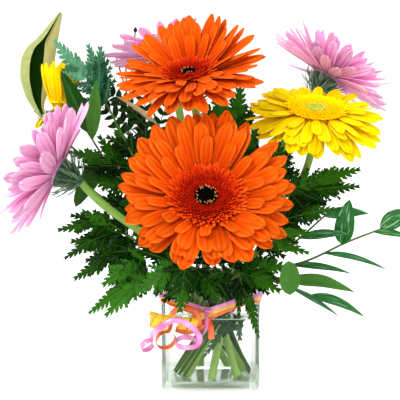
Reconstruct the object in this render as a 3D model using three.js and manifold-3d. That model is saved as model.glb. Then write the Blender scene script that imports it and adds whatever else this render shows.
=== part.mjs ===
// Seven gerberas with fern, ruscus and broad leaves in a square glass vase tied with curling ribbon.
// Millimetres, +Z up. The origin is the middle of the vase's underside and -Y is the front.

import * as THREE from 'three';
import { mergeVertices } from 'three/addons/utils/BufferGeometryUtils.js';
import Module from 'manifold-3d';

const wasm = await Module();
wasm.setup();

// Driving dimensions
const GAP = 0.3;
const VASE = { side: 80, height: 85, wall: 4, floor: 6.5, corner: 6, bore: 3 };
const WATER_TOP = 60;
const BUNDLE = { x: 2, y: 0, waist: 48, exit: 92 };
const THICK = { radius: 3.2, ring: 8.5, slope: 0.614, sides: 6 };
const THIN = { radius: 1.1, ring: 17, slope: 0.66, sides: 4, slots: 26 };
const RIBBON = { width: 5, thick: 0.6, layer: 1, rim: 78, knot: [-2.5, 65] };
const LANCE = { thick: 0.8, rib: 0.9 };
const PETAL_KEEL = 1;
const BLADE_KEEL = 1.1;

const UP = new THREE.Vector3(0, 0, 1);
const LEAF_FACE = new THREE.Vector3(0, -0.75, 0.66).normalize();

const LOOKS = {
  glass: { color: 0xe9f2ee, roughness: 0.04, metalness: 0, transparent: true, opacity: 0.35 },
  water: { color: 0xdfeee8, roughness: 0.02, metalness: 0, transparent: true, opacity: 0.3 },
  orange_petal: { color: 0xf4580f, roughness: 0.6, metalness: 0 },
  yellow_petal: { color: 0xf8cc08, roughness: 0.6, metalness: 0 },
  pink_petal: { color: 0xe79ad6, roughness: 0.6, metalness: 0 },
  orange_disc: { color: 0xb52a0c, roughness: 0.8, metalness: 0 },
  yellow_disc: { color: 0xf0ae0a, roughness: 0.8, metalness: 0 },
  pink_disc: { color: 0xd06a9c, roughness: 0.8, metalness: 0 },
  dark_eye: { color: 0x17110e, roughness: 0.9, metalness: 0 },
  pale_eye: { color: 0xc9cf62, roughness: 0.9, metalness: 0 },
  flower_stem: { color: 0x7fa348, roughness: 0.6, metalness: 0 },
  fern: { color: 0x2c6420, roughness: 0.6, metalness: 0 },
  broad_leaf: { color: 0x3f7a2a, roughness: 0.5, metalness: 0 },
  pale_leaf: { color: 0xb4ba66, roughness: 0.5, metalness: 0 },
  dry_leaf: { color: 0xc9b48c, roughness: 0.7, metalness: 0 },
  ruscus: { color: 0x2f7a34, roughness: 0.3, metalness: 0 },
  dark_sprig: { color: 0x223816, roughness: 0.6, metalness: 0 },
  orange_ribbon: { color: 0xf4661c, roughness: 0.3, metalness: 0 },
  yellow_ribbon: { color: 0xf2c51c, roughness: 0.3, metalness: 0 },
  pink_ribbon: { color: 0xe67cc2, roughness: 0.3, metalness: 0 },
};

// Blooms: centre is the middle of the petals' ring, facing its axis, reach and disc are radii and
// slot is the stem's place round the waist. Cup is how far the petals rise (degrees) at the upper,
// side and lower edge, curl how far they bend back there and stretch how much longer they are there.
// Each layer holds count, share of the reach, rise and width. Arrival is the stem's heading at the
// bloom where it isn't the bloom's axis.
const BLOOMS = [
  {
    name: 'orange_front', centre: [-4, -100, 168], facing: [0, -0.68, 0.73], reach: 64, disc: 26,
    eye: 9, slot: 236, kind: 'orange', eyeLook: 'dark_eye', cup: [32, 4, 6], curl: [3, 5, 9],
    stretch: [1.18, 1, 0.92],
    layers: [[16, 1, -3, 14.5], [13, 0.92, 5, 13], [8, 0.74, 13, 9.5]],
  },
  {
    name: 'orange_top', centre: [-17, -45, 255.5], facing: [-0.17, -0.36, 0.92], reach: 60, disc: 19,
    eye: 6, slot: 184, kind: 'orange', eyeLook: 'dark_eye', cup: [36, 2, 4], curl: [2, 12, 16],
    stretch: [1.04, 1, 0.9],
    layers: [[15, 1, -3, 13], [12, 0.92, 6, 12], [6, 0.7, 14, 9.5]],
  },
  {
    name: 'yellow_right', centre: [85, -15, 225], facing: [0.05, -0.29, 0.956], reach: 55, disc: 23,
    eye: 7.5, slot: 287, kind: 'yellow', eyeLook: 'pale_eye', cup: [0, -5, -20], curl: [8, 12, 14],
    stretch: [1.05, 1.03, 1.03],
    layers: [[15, 1, -3, 12.5], [12, 0.92, 5, 11.5], [6, 0.78, 11, 9.5]],
  },
  {
    name: 'pink_right', centre: [104, 62, 253], facing: [0.53, 0.13, 0.84], reach: 56, disc: 15,
    eye: 5, slot: 339, kind: 'pink', eyeLook: 'pale_eye', cup: [0, 2, 0], curl: [0, 0, 0],
    stretch: [1, 1, 1],
    layers: [[13, 1, 0, 9], [10, 0.95, 21, 8.5], [6, 0.82, 42, 7.5]],
  },
  {
    name: 'pink_left', centre: [-124, -28, 180], facing: [-0.9, 0.1, 0.42], reach: 58, disc: 15,
    eye: 5, slot: 133, kind: 'pink', eyeLook: 'pale_eye', cup: [8, 14, 12], curl: [4, 4, 4],
    stretch: [1, 1, 1], arrival: [-0.62, 0.3, 0.72],
    layers: [[13, 1, 0, 9], [10, 0.94, 18, 8.5], [6, 0.8, 36, 7.5]],
  },
  {
    name: 'pink_back', centre: [-39, 66, 272], facing: [-0.25, 0.35, 0.9], reach: 50, disc: 15,
    eye: 5, slot: 30, kind: 'pink', eyeLook: 'pale_eye', cup: [0, 2, 4], curl: [6, 6, 6],
    stretch: [1, 1, 1],
    layers: [[13, 1, 2, 9], [9, 0.9, 17, 8.5]],
  },
  {
    name: 'yellow_left', centre: [-130, 52, 225], facing: [0.04, 0.12, 0.99], reach: 46, disc: 10,
    eye: 4, slot: 81, kind: 'yellow', eyeLook: 'pale_eye', cup: [0, 0, 0], curl: [-12, -12, -12],
    stretch: [1, 1, 1],
    layers: [[9, 1, 70, 9], [6, 0.9, 80, 8]],
  },
];

// Greenery: foot is the height of the stem's lower end, end is where it branches, and each blade
// springs from the stem (at, 0 to 1 along its free part) to its tip.
const GREENS = [
  {
    name: 'bud_stalks', look: 'dark_sprig', foot: 8, end: [-74, 78, 232],
    blades: [
      { kind: 'bud', at: 1, tip: [-77, 88, 293], half: 2, arch: 0 },
      { kind: 'bud', at: 0.97, tip: [-66, 90, 295], half: 2, arch: 0 },
      { kind: 'bud', at: 0.94, tip: [-86, 84, 272], half: 2, arch: 0 },
    ],
  },
  {
    name: 'ruscus_right', look: 'ruscus', foot: 8, end: [150, -4, 131],
    path: [[74, -30, 105], [112, -20, 120]],
    blades: [
      { kind: 'leaf', at: 0.72, tip: [112, -26, 156], half: 8.5, arch: 1 },
      { kind: 'leaf', at: 0.94, tip: [169, 4, 142], half: 8, arch: 3 },
      { kind: 'leaf', at: 0.9, tip: [168, -10, 121], half: 3.5, arch: 3 },
      { kind: 'leaf', at: 0.62, tip: [144, -26, 98], half: 3, arch: 6 },
      { kind: 'leaf', at: 0.45, tip: [114, -36, 97], half: 3, arch: 5 },
    ],
  },
  {
    name: 'ruscus_upper', look: 'ruscus', foot: 8, end: [92, -24, 142],
    path: [[66, -22, 118]],
    blades: [
      { kind: 'leaf', at: 1, tip: [137, -18, 150], half: 5.5, arch: 4 },
      { kind: 'leaf', at: 0.75, tip: [112, -28, 128], half: 4, arch: 4 },
    ],
  },
  {
    name: 'ruscus_low', look: 'ruscus', foot: 8, end: [78, -56, 84],
    path: [[46, -50, 96]],
    blades: [
      { kind: 'leaf', at: 1, tip: [122, -54, 66], half: 4, arch: 8 },
      { kind: 'leaf', at: 0.85, tip: [100, -66, 70], half: 2.5, arch: 3 },
    ],
  },
  {
    name: 'sprig_left', look: 'dark_sprig', foot: 8, end: [-58, 34, 206],
    blades: [
      { kind: 'sprig', at: 1, tip: [-93, 58, 243], half: 8, pairs: 3, bare: 0.05, arch: 2 },
      { kind: 'sprig', at: 0.85, tip: [-70, 62, 228], half: 8, pairs: 3, bare: 0.1, arch: 2 },
      { kind: 'sprig', at: 0.8, tip: [-36, 22, 232], half: 8, pairs: 3, bare: 0.1, arch: 2 },
      { kind: 'sprig', at: 0.9, tip: [-56, 38, 241], half: 8, pairs: 3, bare: 0.1, arch: 2 },
      { kind: 'sprig', at: 0.7, tip: [-82, 26, 214], half: 8, pairs: 3, bare: 0.1, arch: 2 },
    ],
  },
  {
    name: 'dry_leaves', look: 'dry_leaf', foot: 8, end: [-48, 32, 222],
    blades: [
      { kind: 'leaf', at: 1, tip: [-58, 46, 252], half: 6, arch: 2 },
      { kind: 'leaf', at: 0.9, tip: [-80, 36, 242], half: 5, arch: 4 },
      { kind: 'leaf', at: 0.75, tip: [2, 40, 226], half: 7, arch: 4 },
    ],
  },
  {
    name: 'fern_back_left', look: 'fern', foot: 46, end: [-52, 62, 160],
    blades: [
      { kind: 'lance', at: 1, tip: [-76, 92, 204], half: 15, pairs: 3, bare: 0.1, arch: 5 },
      { kind: 'lance', at: 0.9, tip: [-104, 84, 160], half: 14, pairs: 3, bare: 0.1, arch: 8 },
      { kind: 'lance', at: 0.6, tip: [-72, 84, 104], half: 14, pairs: 3, bare: 0.1, arch: 12 },
    ],
  },
  {
    name: 'fern_back', look: 'fern', foot: 46, end: [2, 66, 158],
    blades: [
      { kind: 'lance', at: 1, tip: [-12, 100, 206], half: 15, pairs: 3, bare: 0.1, arch: 5 },
      { kind: 'lance', at: 0.9, tip: [24, 104, 176], half: 14, pairs: 3, bare: 0.1, arch: 8 },
      { kind: 'lance', at: 0.55, tip: [-8, 92, 92], half: 14, pairs: 3, bare: 0.1, arch: 12 },
    ],
  },
  {
    name: 'fern_back_right', look: 'fern', foot: 46, end: [58, 48, 156],
    blades: [
      { kind: 'lance', at: 1, tip: [70, 92, 196], half: 15, pairs: 3, bare: 0.1, arch: 5 },
      { kind: 'lance', at: 0.9, tip: [110, 66, 160], half: 14, pairs: 3, bare: 0.1, arch: 8 },
      { kind: 'lance', at: 0.6, tip: [70, 74, 104], half: 14, pairs: 3, bare: 0.1, arch: 12 },
    ],
  },
  {
    name: 'broad_leaves_left', look: 'broad_leaf', foot: 8, end: [-104, 26, 206],
    blades: [
      { kind: 'leaf', at: 1, tip: [-126, 30, 257], half: 10, arch: 3 },
      { kind: 'leaf', at: 0.95, tip: [-95, 22, 251], half: 8, arch: 3 },
      { kind: 'leaf', at: 0.8, tip: [-112, -2, 146], half: 11, arch: 6 },
    ],
  },
  {
    name: 'fern_top', look: 'fern', foot: 50, end: [17, 22, 196],
    blades: [
      { kind: 'lance', at: 1, tip: [5, 18, 247], half: 10, pairs: 4, bare: 0.1, arch: 0 },
      { kind: 'lance', at: 0.95, tip: [26, 24, 247], half: 10, pairs: 4, bare: 0.1, arch: 0 },
      { kind: 'lance', at: 0.8, tip: [42, 14, 214], half: 10, pairs: 3, bare: 0.15, arch: 2 },
    ],
  },
  {
    name: 'fern_right', look: 'fern', foot: 44, end: [60, -16, 160],
    blades: [
      { kind: 'lance', at: 1, tip: [121, -18, 180], half: 10, pairs: 4, bare: 0.05, arch: 4 },
      { kind: 'lance', at: 0.95, tip: [119, -30, 168], half: 10, pairs: 4, bare: 0.05, arch: 4 },
      { kind: 'lance', at: 0.7, tip: [94, -8, 150], half: 10, pairs: 3, bare: 0.1, arch: 4 },
      { kind: 'lance', at: 0.9, tip: [56, -6, 200], half: 12, pairs: 3, bare: 0.1, arch: 4 },
      { kind: 'lance', at: 0.6, tip: [78, -2, 126], half: 11, pairs: 3, bare: 0.1, arch: 4 },
    ],
  },
  {
    name: 'fern_right_low', look: 'fern', foot: 46, end: [56, -30, 138],
    blades: [
      { kind: 'lance', at: 1, tip: [98, -40, 151], half: 8, pairs: 4, bare: 0.05, arch: 3 },
      { kind: 'lance', at: 0.7, tip: [78, -44, 116], half: 9, pairs: 4, bare: 0.1, arch: 4 },
      { kind: 'lance', at: 0.8, tip: [80, -36, 130], half: 8, pairs: 3, bare: 0.2, arch: 3 },
    ],
  },
  {
    name: 'broad_leaves_right', look: 'broad_leaf', foot: 8, end: [63, -52, 94],
    blades: [
      { kind: 'leaf', at: 1, tip: [61, -64, 117], half: 10, arch: 2 },
      { kind: 'leaf', at: 0.95, tip: [115, -44, 84], half: 8, arch: 7 },
    ],
  },
  {
    name: 'fern_upper_left', look: 'fern', foot: 40, end: [-92, 36, 238],
    blades: [
      { kind: 'lance', at: 0.9, tip: [-132, 42, 283], half: 14, pairs: 4, bare: 0.1, arch: 4 },
      { kind: 'lance', at: 0.95, tip: [-104, 45, 279], half: 8, pairs: 3, bare: 0.2, arch: 2 },
      { kind: 'lance', at: 0.98, tip: [-94, 46, 277], half: 8, pairs: 3, bare: 0.2, arch: 2 },
    ],
  },
  {
    name: 'fern_left', look: 'fern', foot: 44, end: [-72, 8, 176],
    blades: [
      { kind: 'lance', at: 1, tip: [-120, 4, 190], half: 9, pairs: 4, bare: 0.1, arch: 4 },
      { kind: 'lance', at: 0.85, tip: [-78, 22, 212], half: 12, pairs: 3, bare: 0.15, arch: 3 },
      { kind: 'lance', at: 0.6, tip: [-92, 14, 150], half: 10, pairs: 3, bare: 0.2, arch: 4 },
      { kind: 'lance', at: 0.75, tip: [-55, 5, 199], half: 12, pairs: 3, bare: 0.1, arch: 3 },
      { kind: 'lance', at: 0.92, tip: [-93, 12, 204], half: 10, pairs: 3, bare: 0.1, arch: 3 },
      { kind: 'lance', at: 0.8, tip: [-100, 2, 168], half: 10, pairs: 3, bare: 0.1, arch: 3 },
    ],
  },
  {
    name: 'fern_left_low', look: 'fern', foot: 42, end: [-78, -18, 132],
    blades: [
      { kind: 'lance', at: 1, tip: [-123, -30, 132], half: 9, pairs: 4, bare: 0.05, arch: 8 },
      { kind: 'lance', at: 0.9, tip: [-119, -26, 108], half: 9, pairs: 4, bare: 0.2, arch: 8 },
      { kind: 'lance', at: 0.8, tip: [-104, -24, 146], half: 6, pairs: 4, bare: 0.3, arch: 5 },
      { kind: 'lance', at: 0.85, tip: [-64, -16, 160], half: 11, pairs: 3, bare: 0.1, arch: 4 },
      { kind: 'lance', at: 0.7, tip: [-52, -24, 132], half: 10, pairs: 3, bare: 0.1, arch: 4 },
    ],
  },
  {
    name: 'fern_left_dark', look: 'fern', foot: 46, end: [-62, -14, 112],
    blades: [
      { kind: 'lance', at: 1, tip: [-113, -14, 88], half: 15, pairs: 4, bare: 0.05, arch: 8 },
      { kind: 'lance', at: 0.9, tip: [-116, -4, 118], half: 14, pairs: 4, bare: 0.1, arch: 6 },
      { kind: 'lance', at: 0.7, tip: [-88, -28, 86], half: 12, pairs: 3, bare: 0.15, arch: 5 },
      { kind: 'lance', at: 0.6, tip: [-49, -10, 140], half: 12, pairs: 3, bare: 0.1, arch: 4 },
    ],
  },
  {
    name: 'fern_lower_left', look: 'fern', foot: 44, end: [-46, -32, 96],
    blades: [
      { kind: 'lance', at: 1, tip: [-105, -26, 62], half: 12, pairs: 4, bare: 0.2, arch: 10 },
      { kind: 'lance', at: 0.95, tip: [-85, -42, 64], half: 12, pairs: 4, bare: 0.15, arch: 9 },
    ],
  },
  {
    name: 'fern_front', look: 'fern', foot: 42, end: [-20, -50, 108],
    blades: [
      { kind: 'lance', at: 1, tip: [-24, -68, 74], half: 15, pairs: 4, bare: 0.1, arch: 6 },
      { kind: 'lance', at: 0.9, tip: [-58, -58, 88], half: 14, pairs: 4, bare: 0.1, arch: 8 },
      { kind: 'lance', at: 0.8, tip: [6, -66, 82], half: 12, pairs: 3, bare: 0.1, arch: 8 },
    ],
  },
  {
    name: 'fern_rim', look: 'fern', foot: 48, end: [22, -46, 100],
    blades: [
      { kind: 'lance', at: 1, tip: [38, -56, 50], half: 9, pairs: 4, bare: 0.15, arch: 10 },
      { kind: 'lance', at: 0.9, tip: [56, -58, 86], half: 10, pairs: 4, bare: 0.1, arch: 7 },
      { kind: 'lance', at: 0.75, tip: [-2, -62, 100], half: 10, pairs: 3, bare: 0.1, arch: 6 },
      { kind: 'lance', at: 0.9, tip: [65, -42, 104], half: 10, pairs: 3, bare: 0.1, arch: 5 },
    ],
  },
];

// The rolled leaf: half widths at stations of its middle line, and its section from margin to margin
// as shares of them (sideways, forwards).
const FOLDED_LEAF = {
  name: 'folded_leaf', look: 'pale_leaf', foot: 8, end: [-148, 96, 206], thick: 0.8,
  line: [
    [-156, 98, 222], [-157.5, 98, 238], [-156, 98, 254], [-152, 98, 270], [-144, 98, 287], [-134, 98, 307],
  ],
  halves: [2, 4, 10, 14.4, 14.8, 12.4, 7, 1.4],
  section: [[-0.28, 0.8], [-0.9, 0.55], [-0.95, -0.2], [0, -0.8], [0.95, -0.2], [0.9, 0.5], [0.53, 0.75]],
};

// Ribbons tied round the vase. Their tails run through hand-laid stations, where wide is the
// direction of the ribbon's width, and through loops about an axis, which a flare opens into cones.
const RIBBONS = [
  {
    name: 'ribbon_orange', look: 'orange_ribbon', order: 0,
    tails: [
      [
        { at: [-6, -47, 58], wide: [0.3, 1, 0.3] },
        {
          loop: [-20.5, -50, 62], axis: [0.2, 0.95, 0.2], radius: 11.5, from: [1, 0, -0.5], turns: -0.6,
          flare: 1.2,
        },
        { loop: [-36, -50, 46.5], axis: [-0.3, 0.9, 0.3], radius: 8, from: [0.2, 0, 1], turns: -0.9 },
      ],
      [
        { at: [0, -46.5, 55], wide: [1, 0, 0.2] },
        { at: [0.5, -47.5, 46], wide: [1, 0, 0] },
      ],
      [
        { at: [-10, -45.5, 55], wide: [0, 0.3, 1] },
        { at: [-19, -46.5, 52], wide: [0, 0.3, 1] },
        { at: [-28, -45.5, 54], wide: [0, 0.3, 1] },
      ],
    ],
  },
  {
    name: 'ribbon_yellow', look: 'yellow_ribbon', order: 1,
    tails: [[
      { at: [-8, -45.7, 64.5], wide: [0, 0.1, 1] },
      { at: [-16, -49.5, 63.5], wide: [0.3, 0.1, 1] },
      { at: [-15.5, -55.5, 64], wide: [0.8, 0, 0.6] },
      { loop: [-12, -61, 62], axis: [1, 0, -0.1], radius: 4.8, from: [0, 0.2, 1], turns: 2, drift: -14 },
      { loop: [-35, -60.5, 62.5], axis: [1, 0, -0.3], radius: 6, from: [0, 0.4, 1], turns: 2.2, drift: -13 },
    ]],
  },
  {
    name: 'ribbon_pink', look: 'pink_ribbon', order: 2,
    tails: [[
      { at: [-3, -51, 62], wide: [-0.6, 0.8, 0] },
      { at: [-5, -55, 54], wide: [-0.5, 0.8, -0.2] },
      { loop: [-19.7, -58, 46.5], axis: [0, 0.22, -0.97], radius: 8.2, from: [0.9, 0.45, 0], turns: -0.675 },
      { at: [-12, -68.5, 46.5], wide: [0.3, 0.3, -0.9] },
      { at: [-8.5, -70, 52], wide: [0.9, 0.3, -0.2] },
      { at: [-11, -71, 58.5], wide: [0.9, 0.3, 0.3] },
      { at: [-16, -71, 63.5], wide: [0.7, 0.3, 0.6] },
      { at: [-22, -71, 67], wide: [0.4, 0.3, 0.9] },
      { at: [-30, -71, 68], wide: [0, 0.4, 0.9] },
      { at: [-39, -71, 63], wide: [-0.5, 0.4, 0.8] },
      { at: [-46, -69, 56], wide: [-0.7, 0.5, 0.6] },
      { loop: [-50, -64, 46], axis: [-0.5, 0.7, 0.5], radius: 5.5, from: [0.5, 0, 1], turns: -0.8 },
    ]],
  },
];

const vec = (p) => new THREE.Vector3(...p);
const rad = THREE.MathUtils.degToRad;

// Repeatable random numbers from -1 to 1
function dice(seed) {
  let state = seed;
  return () => {
    state = (Math.imul(state, 1664525) + 1013904223) >>> 0;
    return state / 2147483648 - 1;
  };
}

// Solids

function closedSolid(points, triangles) {
  let volume = 0;
  for (const [a, b, c] of triangles) {
    volume += points[a].dot(new THREE.Vector3().crossVectors(points[b], points[c]));
  }
  const faces = volume < 0 ? triangles.map(([a, b, c]) => [a, c, b]) : triangles;
  return new wasm.Manifold(new wasm.Mesh({
    numProp: 3,
    vertProperties: new Float32Array(points.flatMap((p) => p.toArray())),
    triVerts: new Uint32Array(faces.flat()),
  }));
}

function solidOf(geometry) {
  const bare = geometry.clone();
  bare.deleteAttribute('normal');
  bare.deleteAttribute('uv');
  const merged = mergeVertices(bare, 1e-4);
  return new wasm.Manifold(new wasm.Mesh({
    numProp: 3,
    vertProperties: merged.attributes.position.array,
    triVerts: new Uint32Array(merged.index.array),
  }));
}

// A body turned about +Z from its profile of radius and height, axis to axis
function turned(profile, sides) {
  const points = profile.map(([radius, height]) => new THREE.Vector2(radius, height));
  return solidOf(new THREE.LatheGeometry(points, sides).rotateX(Math.PI / 2));
}

function geometryOf(solid) {
  const { vertProperties, triVerts } = solid.getMesh();
  const geometry = new THREE.BufferGeometry();
  geometry.setAttribute('position', new THREE.BufferAttribute(vertProperties, 3));
  geometry.setIndex(new THREE.BufferAttribute(triVerts, 1));
  geometry.computeVertexNormals();
  return geometry;
}

// A closed skin through rings of points, which may end in a single point
function loft(rings) {
  const triangles = [];
  const sides = rings[0].length;
  let start = 0;
  for (let i = 0; i + 1 < rings.length; i++) {
    const next = start + sides;
    for (let j = 0; j < sides; j++) {
      const k = (j + 1) % sides;
      if (rings[i + 1].length === 1) {
        triangles.push([start + j, start + k, next]);
      } else {
        triangles.push([start + j, start + k, next + k]);
        triangles.push([start + j, next + k, next + j]);
      }
    }
    start = next;
  }
  for (let a = 0, b = sides - 1; b - a > 1;) {
    const cap = a + b < sides ? [a, a + 1, b] : [a, b - 1, b];
    triangles.push([cap[0], cap[2], cap[1]]);
    if (rings.at(-1).length > 1) triangles.push(cap.map((i) => start + i));
    if (a + b < sides) a += 1;
    else b -= 1;
  }
  return closedSolid(rings.flat(), triangles);
}

// A thin closed skin between two equal grids of points, both cut along the same diagonals
function skin(outer, inner) {
  const [rows, columns] = [outer.length, outer[0].length];
  const at = (i, j, face) => (face * rows + i) * columns + j;
  const triangles = [];
  const quad = (a, b, c, d) => triangles.push([a, b, c], [a, c, d]);
  for (let i = 0; i + 1 < rows; i++) {
    for (let j = 0; j + 1 < columns; j++) {
      const [a, b, c, d] = [at(i, j, 1), at(i + 1, j, 1), at(i + 1, j + 1, 1), at(i, j + 1, 1)];
      quad(at(i, j, 0), at(i + 1, j, 0), at(i + 1, j + 1, 0), at(i, j + 1, 0));
      triangles.push([a, c, b], [a, d, c]);
    }
    const last = columns - 1;
    quad(at(i + 1, 0, 0), at(i, 0, 0), at(i, 0, 1), at(i + 1, 0, 1));
    quad(at(i, last, 0), at(i + 1, last, 0), at(i + 1, last, 1), at(i, last, 1));
  }
  for (let j = 0; j + 1 < columns; j++) {
    const end = rows - 1;
    quad(at(0, j, 0), at(0, j + 1, 0), at(0, j + 1, 1), at(0, j, 1));
    quad(at(end, j + 1, 0), at(end, j, 0), at(end, j, 1), at(end, j + 1, 1));
  }
  return closedSolid([...outer, ...inner].flat(), triangles);
}

// A round rod through a list of points, each ring square to the route there
function rod(points, radius, sides) {
  const rings = [];
  let side = new THREE.Vector3(1, 0.3, 0);
  points.forEach((point, i) => {
    const ahead = points[Math.min(i + 1, points.length - 1)];
    const behind = points[Math.max(i - 1, 0)];
    const along = ahead.clone().sub(behind).normalize();
    side = side.clone().addScaledVector(along, -side.dot(along)).normalize();
    const other = new THREE.Vector3().crossVectors(along, side);
    rings.push(Array.from({ length: sides }, (_, j) => {
      const turn = (2 * Math.PI * j) / sides;
      return point.clone()
        .addScaledVector(side, radius * Math.cos(turn))
        .addScaledVector(other, radius * Math.sin(turn));
    }));
  });
  return loft(rings);
}

// A thin wedge section: two edges and a keel below them
function wedge(point, side, down, half, keel) {
  return [
    point.clone().addScaledVector(side, -half),
    point.clone().addScaledVector(side, half),
    point.clone().addScaledVector(down, keel),
  ];
}

function join(solids) {
  return wasm.Manifold.union(solids);
}

// Stems lean across the waist of the bundle like the straight lines of a hyperboloid, so none cross.

function bundlePoint(family, slot, height) {
  const lean = family.slope * (height - BUNDLE.waist);
  const angle = rad(slot);
  return new THREE.Vector3(
    BUNDLE.x + family.ring * Math.cos(angle) - lean * Math.sin(angle),
    BUNDLE.y + family.ring * Math.sin(angle) + lean * Math.cos(angle),
    height,
  );
}

function freeStem(family, slot, end, arrival, middle = []) {
  const exit = bundlePoint(family, slot, BUNDLE.exit);
  const lean = exit.clone().sub(bundlePoint(family, slot, BUNDLE.waist)).normalize();
  if (middle.length) {
    const lead = exit.clone().addScaledVector(lean, 2);
    return new THREE.CatmullRomCurve3([exit, lead, ...middle.map(vec), end]);
  }
  const span = exit.distanceTo(end) * 0.36;
  return new THREE.CubicBezierCurve3(
    exit,
    exit.clone().addScaledVector(lean, span),
    end.clone().addScaledVector(arrival, -span),
    end,
  );
}

function stemSolid(family, slot, foot, curve, grow = 0) {
  const steps = curve.isCatmullRomCurve3 ? 7 : 4;
  const points = [bundlePoint(family, slot, foot), ...curve.getPoints(steps)];
  return rod(points, family.radius + grow, family.sides);
}

function stemHole(family, slot, foot) {
  const grow = GAP / Math.cos(Math.PI / family.sides) + 0.05;
  const points = [bundlePoint(family, slot, foot - GAP), bundlePoint(family, slot, BUNDLE.exit)];
  return rod(points, family.radius + grow, family.sides);
}

// Places already taken, in the object's frame

const placed = [];

function keep(name, solid) {
  placed.push({ name, solid, box: solid.boundingBox() });
}

function isClear(solid) {
  const box = solid.boundingBox();
  const near = placed.filter((other) => [0, 1, 2].every((axis) =>
    box.min[axis] < other.box.max[axis] && box.max[axis] > other.box.min[axis]));
  return near.every((other) => solid.intersect(other.solid).volume() < 1e-4);
}

const bouquet = new THREE.Group();

function addPiece(name, look, solid, parent = bouquet) {
  const mesh = new THREE.Mesh(geometryOf(solid), new THREE.MeshStandardMaterial(LOOKS[look]));
  mesh.name = name;
  parent.add(mesh);
  mesh.updateWorldMatrix(true, false);
  keep(name, solid.transform(mesh.matrixWorld.toArray()));
}

// Vase and water

function roundedSquare(side, corner) {
  const half = side / 2;
  const shape = new THREE.Shape();
  shape.moveTo(half - corner, -half);
  shape.absarc(half - corner, corner - half, corner, -Math.PI / 2, 0);
  shape.absarc(half - corner, half - corner, corner, 0, Math.PI / 2);
  shape.absarc(corner - half, half - corner, corner, Math.PI / 2, Math.PI);
  shape.absarc(corner - half, corner - half, corner, Math.PI, 1.5 * Math.PI);
  return shape;
}

function block(side, corner, low, high) {
  const geometry = new THREE.ExtrudeGeometry(roundedSquare(side, corner), {
    depth: high - low, bevelEnabled: false, curveSegments: 4,
  });
  geometry.translate(0, 0, low);
  return solidOf(geometry);
}

function vaseSolid() {
  const bore = VASE.side - 2 * VASE.wall;
  const outside = block(VASE.side, VASE.corner, 0, VASE.height);
  return outside.subtract(block(bore, VASE.bore, VASE.floor, VASE.height + 1));
}

function waterSolid(holes) {
  const side = VASE.side - 2 * VASE.wall - 2 * GAP;
  return block(side, VASE.bore, VASE.floor + GAP, WATER_TOP).subtract(join(holes));
}

// Blooms, in a frame with the petals' ring round the origin and the axis along +Z

function bloomGroup(bloom) {
  const axis = vec(bloom.facing).normalize();
  const upper = UP.clone().addScaledVector(axis, -UP.dot(axis)).normalize();
  const right = new THREE.Vector3().crossVectors(upper, axis);
  const group = new THREE.Group();
  group.position.set(...bloom.centre);
  group.quaternion.setFromRotationMatrix(new THREE.Matrix4().makeBasis(right, upper, axis));
  return group;
}

// The sections of one petal past its root: neck beside the disc, widest belly and blunt end
function petalSections(angle, neck, height, length, rise, curl, width, roll) {
  const out = new THREE.Vector3(Math.cos(angle), Math.sin(angle), 0);
  const across = new THREE.Vector3(-Math.sin(angle), Math.cos(angle), 0);
  const heading = (tilt) => out.clone().multiplyScalar(Math.cos(tilt)).addScaledVector(UP, Math.sin(tilt));
  const neckPoint = out.clone().multiplyScalar(neck).setZ(height);
  const belly = neckPoint.clone().addScaledVector(heading(rise), length * 0.58);
  const end = belly.clone().addScaledVector(heading(rise - curl), length * 0.42);
  const section = (point, tilt, twist, half) => {
    const normal = heading(tilt + Math.PI / 2);
    const side = across.clone().multiplyScalar(Math.cos(twist)).addScaledVector(normal, Math.sin(twist));
    const down = new THREE.Vector3().crossVectors(side, heading(tilt)).normalize();
    if (down.z > 0) down.negate();
    return wedge(point, side, down, half, PETAL_KEEL);
  };
  return [
    section(neckPoint, rise / 2, roll / 2, width * 0.3),
    section(belly, rise - curl / 2, roll, width / 2),
    section(end, rise - curl, roll, width * 0.2),
  ];
}

// One whorl of petals as a single skin, its petals springing from the sides of a flat hub
function whorlSolid(hub, height, petals) {
  const count = petals.length;
  const at = (radius, turn, z) => new THREE.Vector3(radius * Math.cos(turn), radius * Math.sin(turn), z);
  const points = [at(0, 0, height), at(0, 0, height - PETAL_KEEL)];
  for (let i = 0; i < count; i++) points.push(at(hub, petals[i].start, height));
  for (let i = 0; i < count; i++) points.push(at(hub - 0.6, petals[i].middle, height - PETAL_KEEL));
  const triangles = [];
  petals.forEach(({ sections }, i) => {
    const next = (i + 1) % count;
    const keel = 2 + count + i;
    triangles.push([0, 2 + i, 2 + next]);
    triangles.push([1, 2 + count + next, keel]);
    triangles.push([keel, 2 + count + next, 2 + next]);
    let ring = [2 + i, 2 + next, keel];
    for (const section of sections) {
      const first = points.length;
      points.push(...section);
      const far = [first, first + 1, first + 2];
      for (let j = 0; j < 3; j++) {
        const k = (j + 1) % 3;
        triangles.push([ring[j], far[j], far[k]], [ring[j], far[k], ring[k]]);
      }
      ring = far;
    }
    triangles.push([ring[0], ring[2], ring[1]]);
  });
  return closedSolid(points, triangles);
}

// A value round the bloom from its values at the upper, side and lower edge
function roundBloom([upper, side, lower], angle) {
  const height = Math.sin(angle);
  return height > 0 ? side + (upper - side) * height : side + (side - lower) * height;
}

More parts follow.
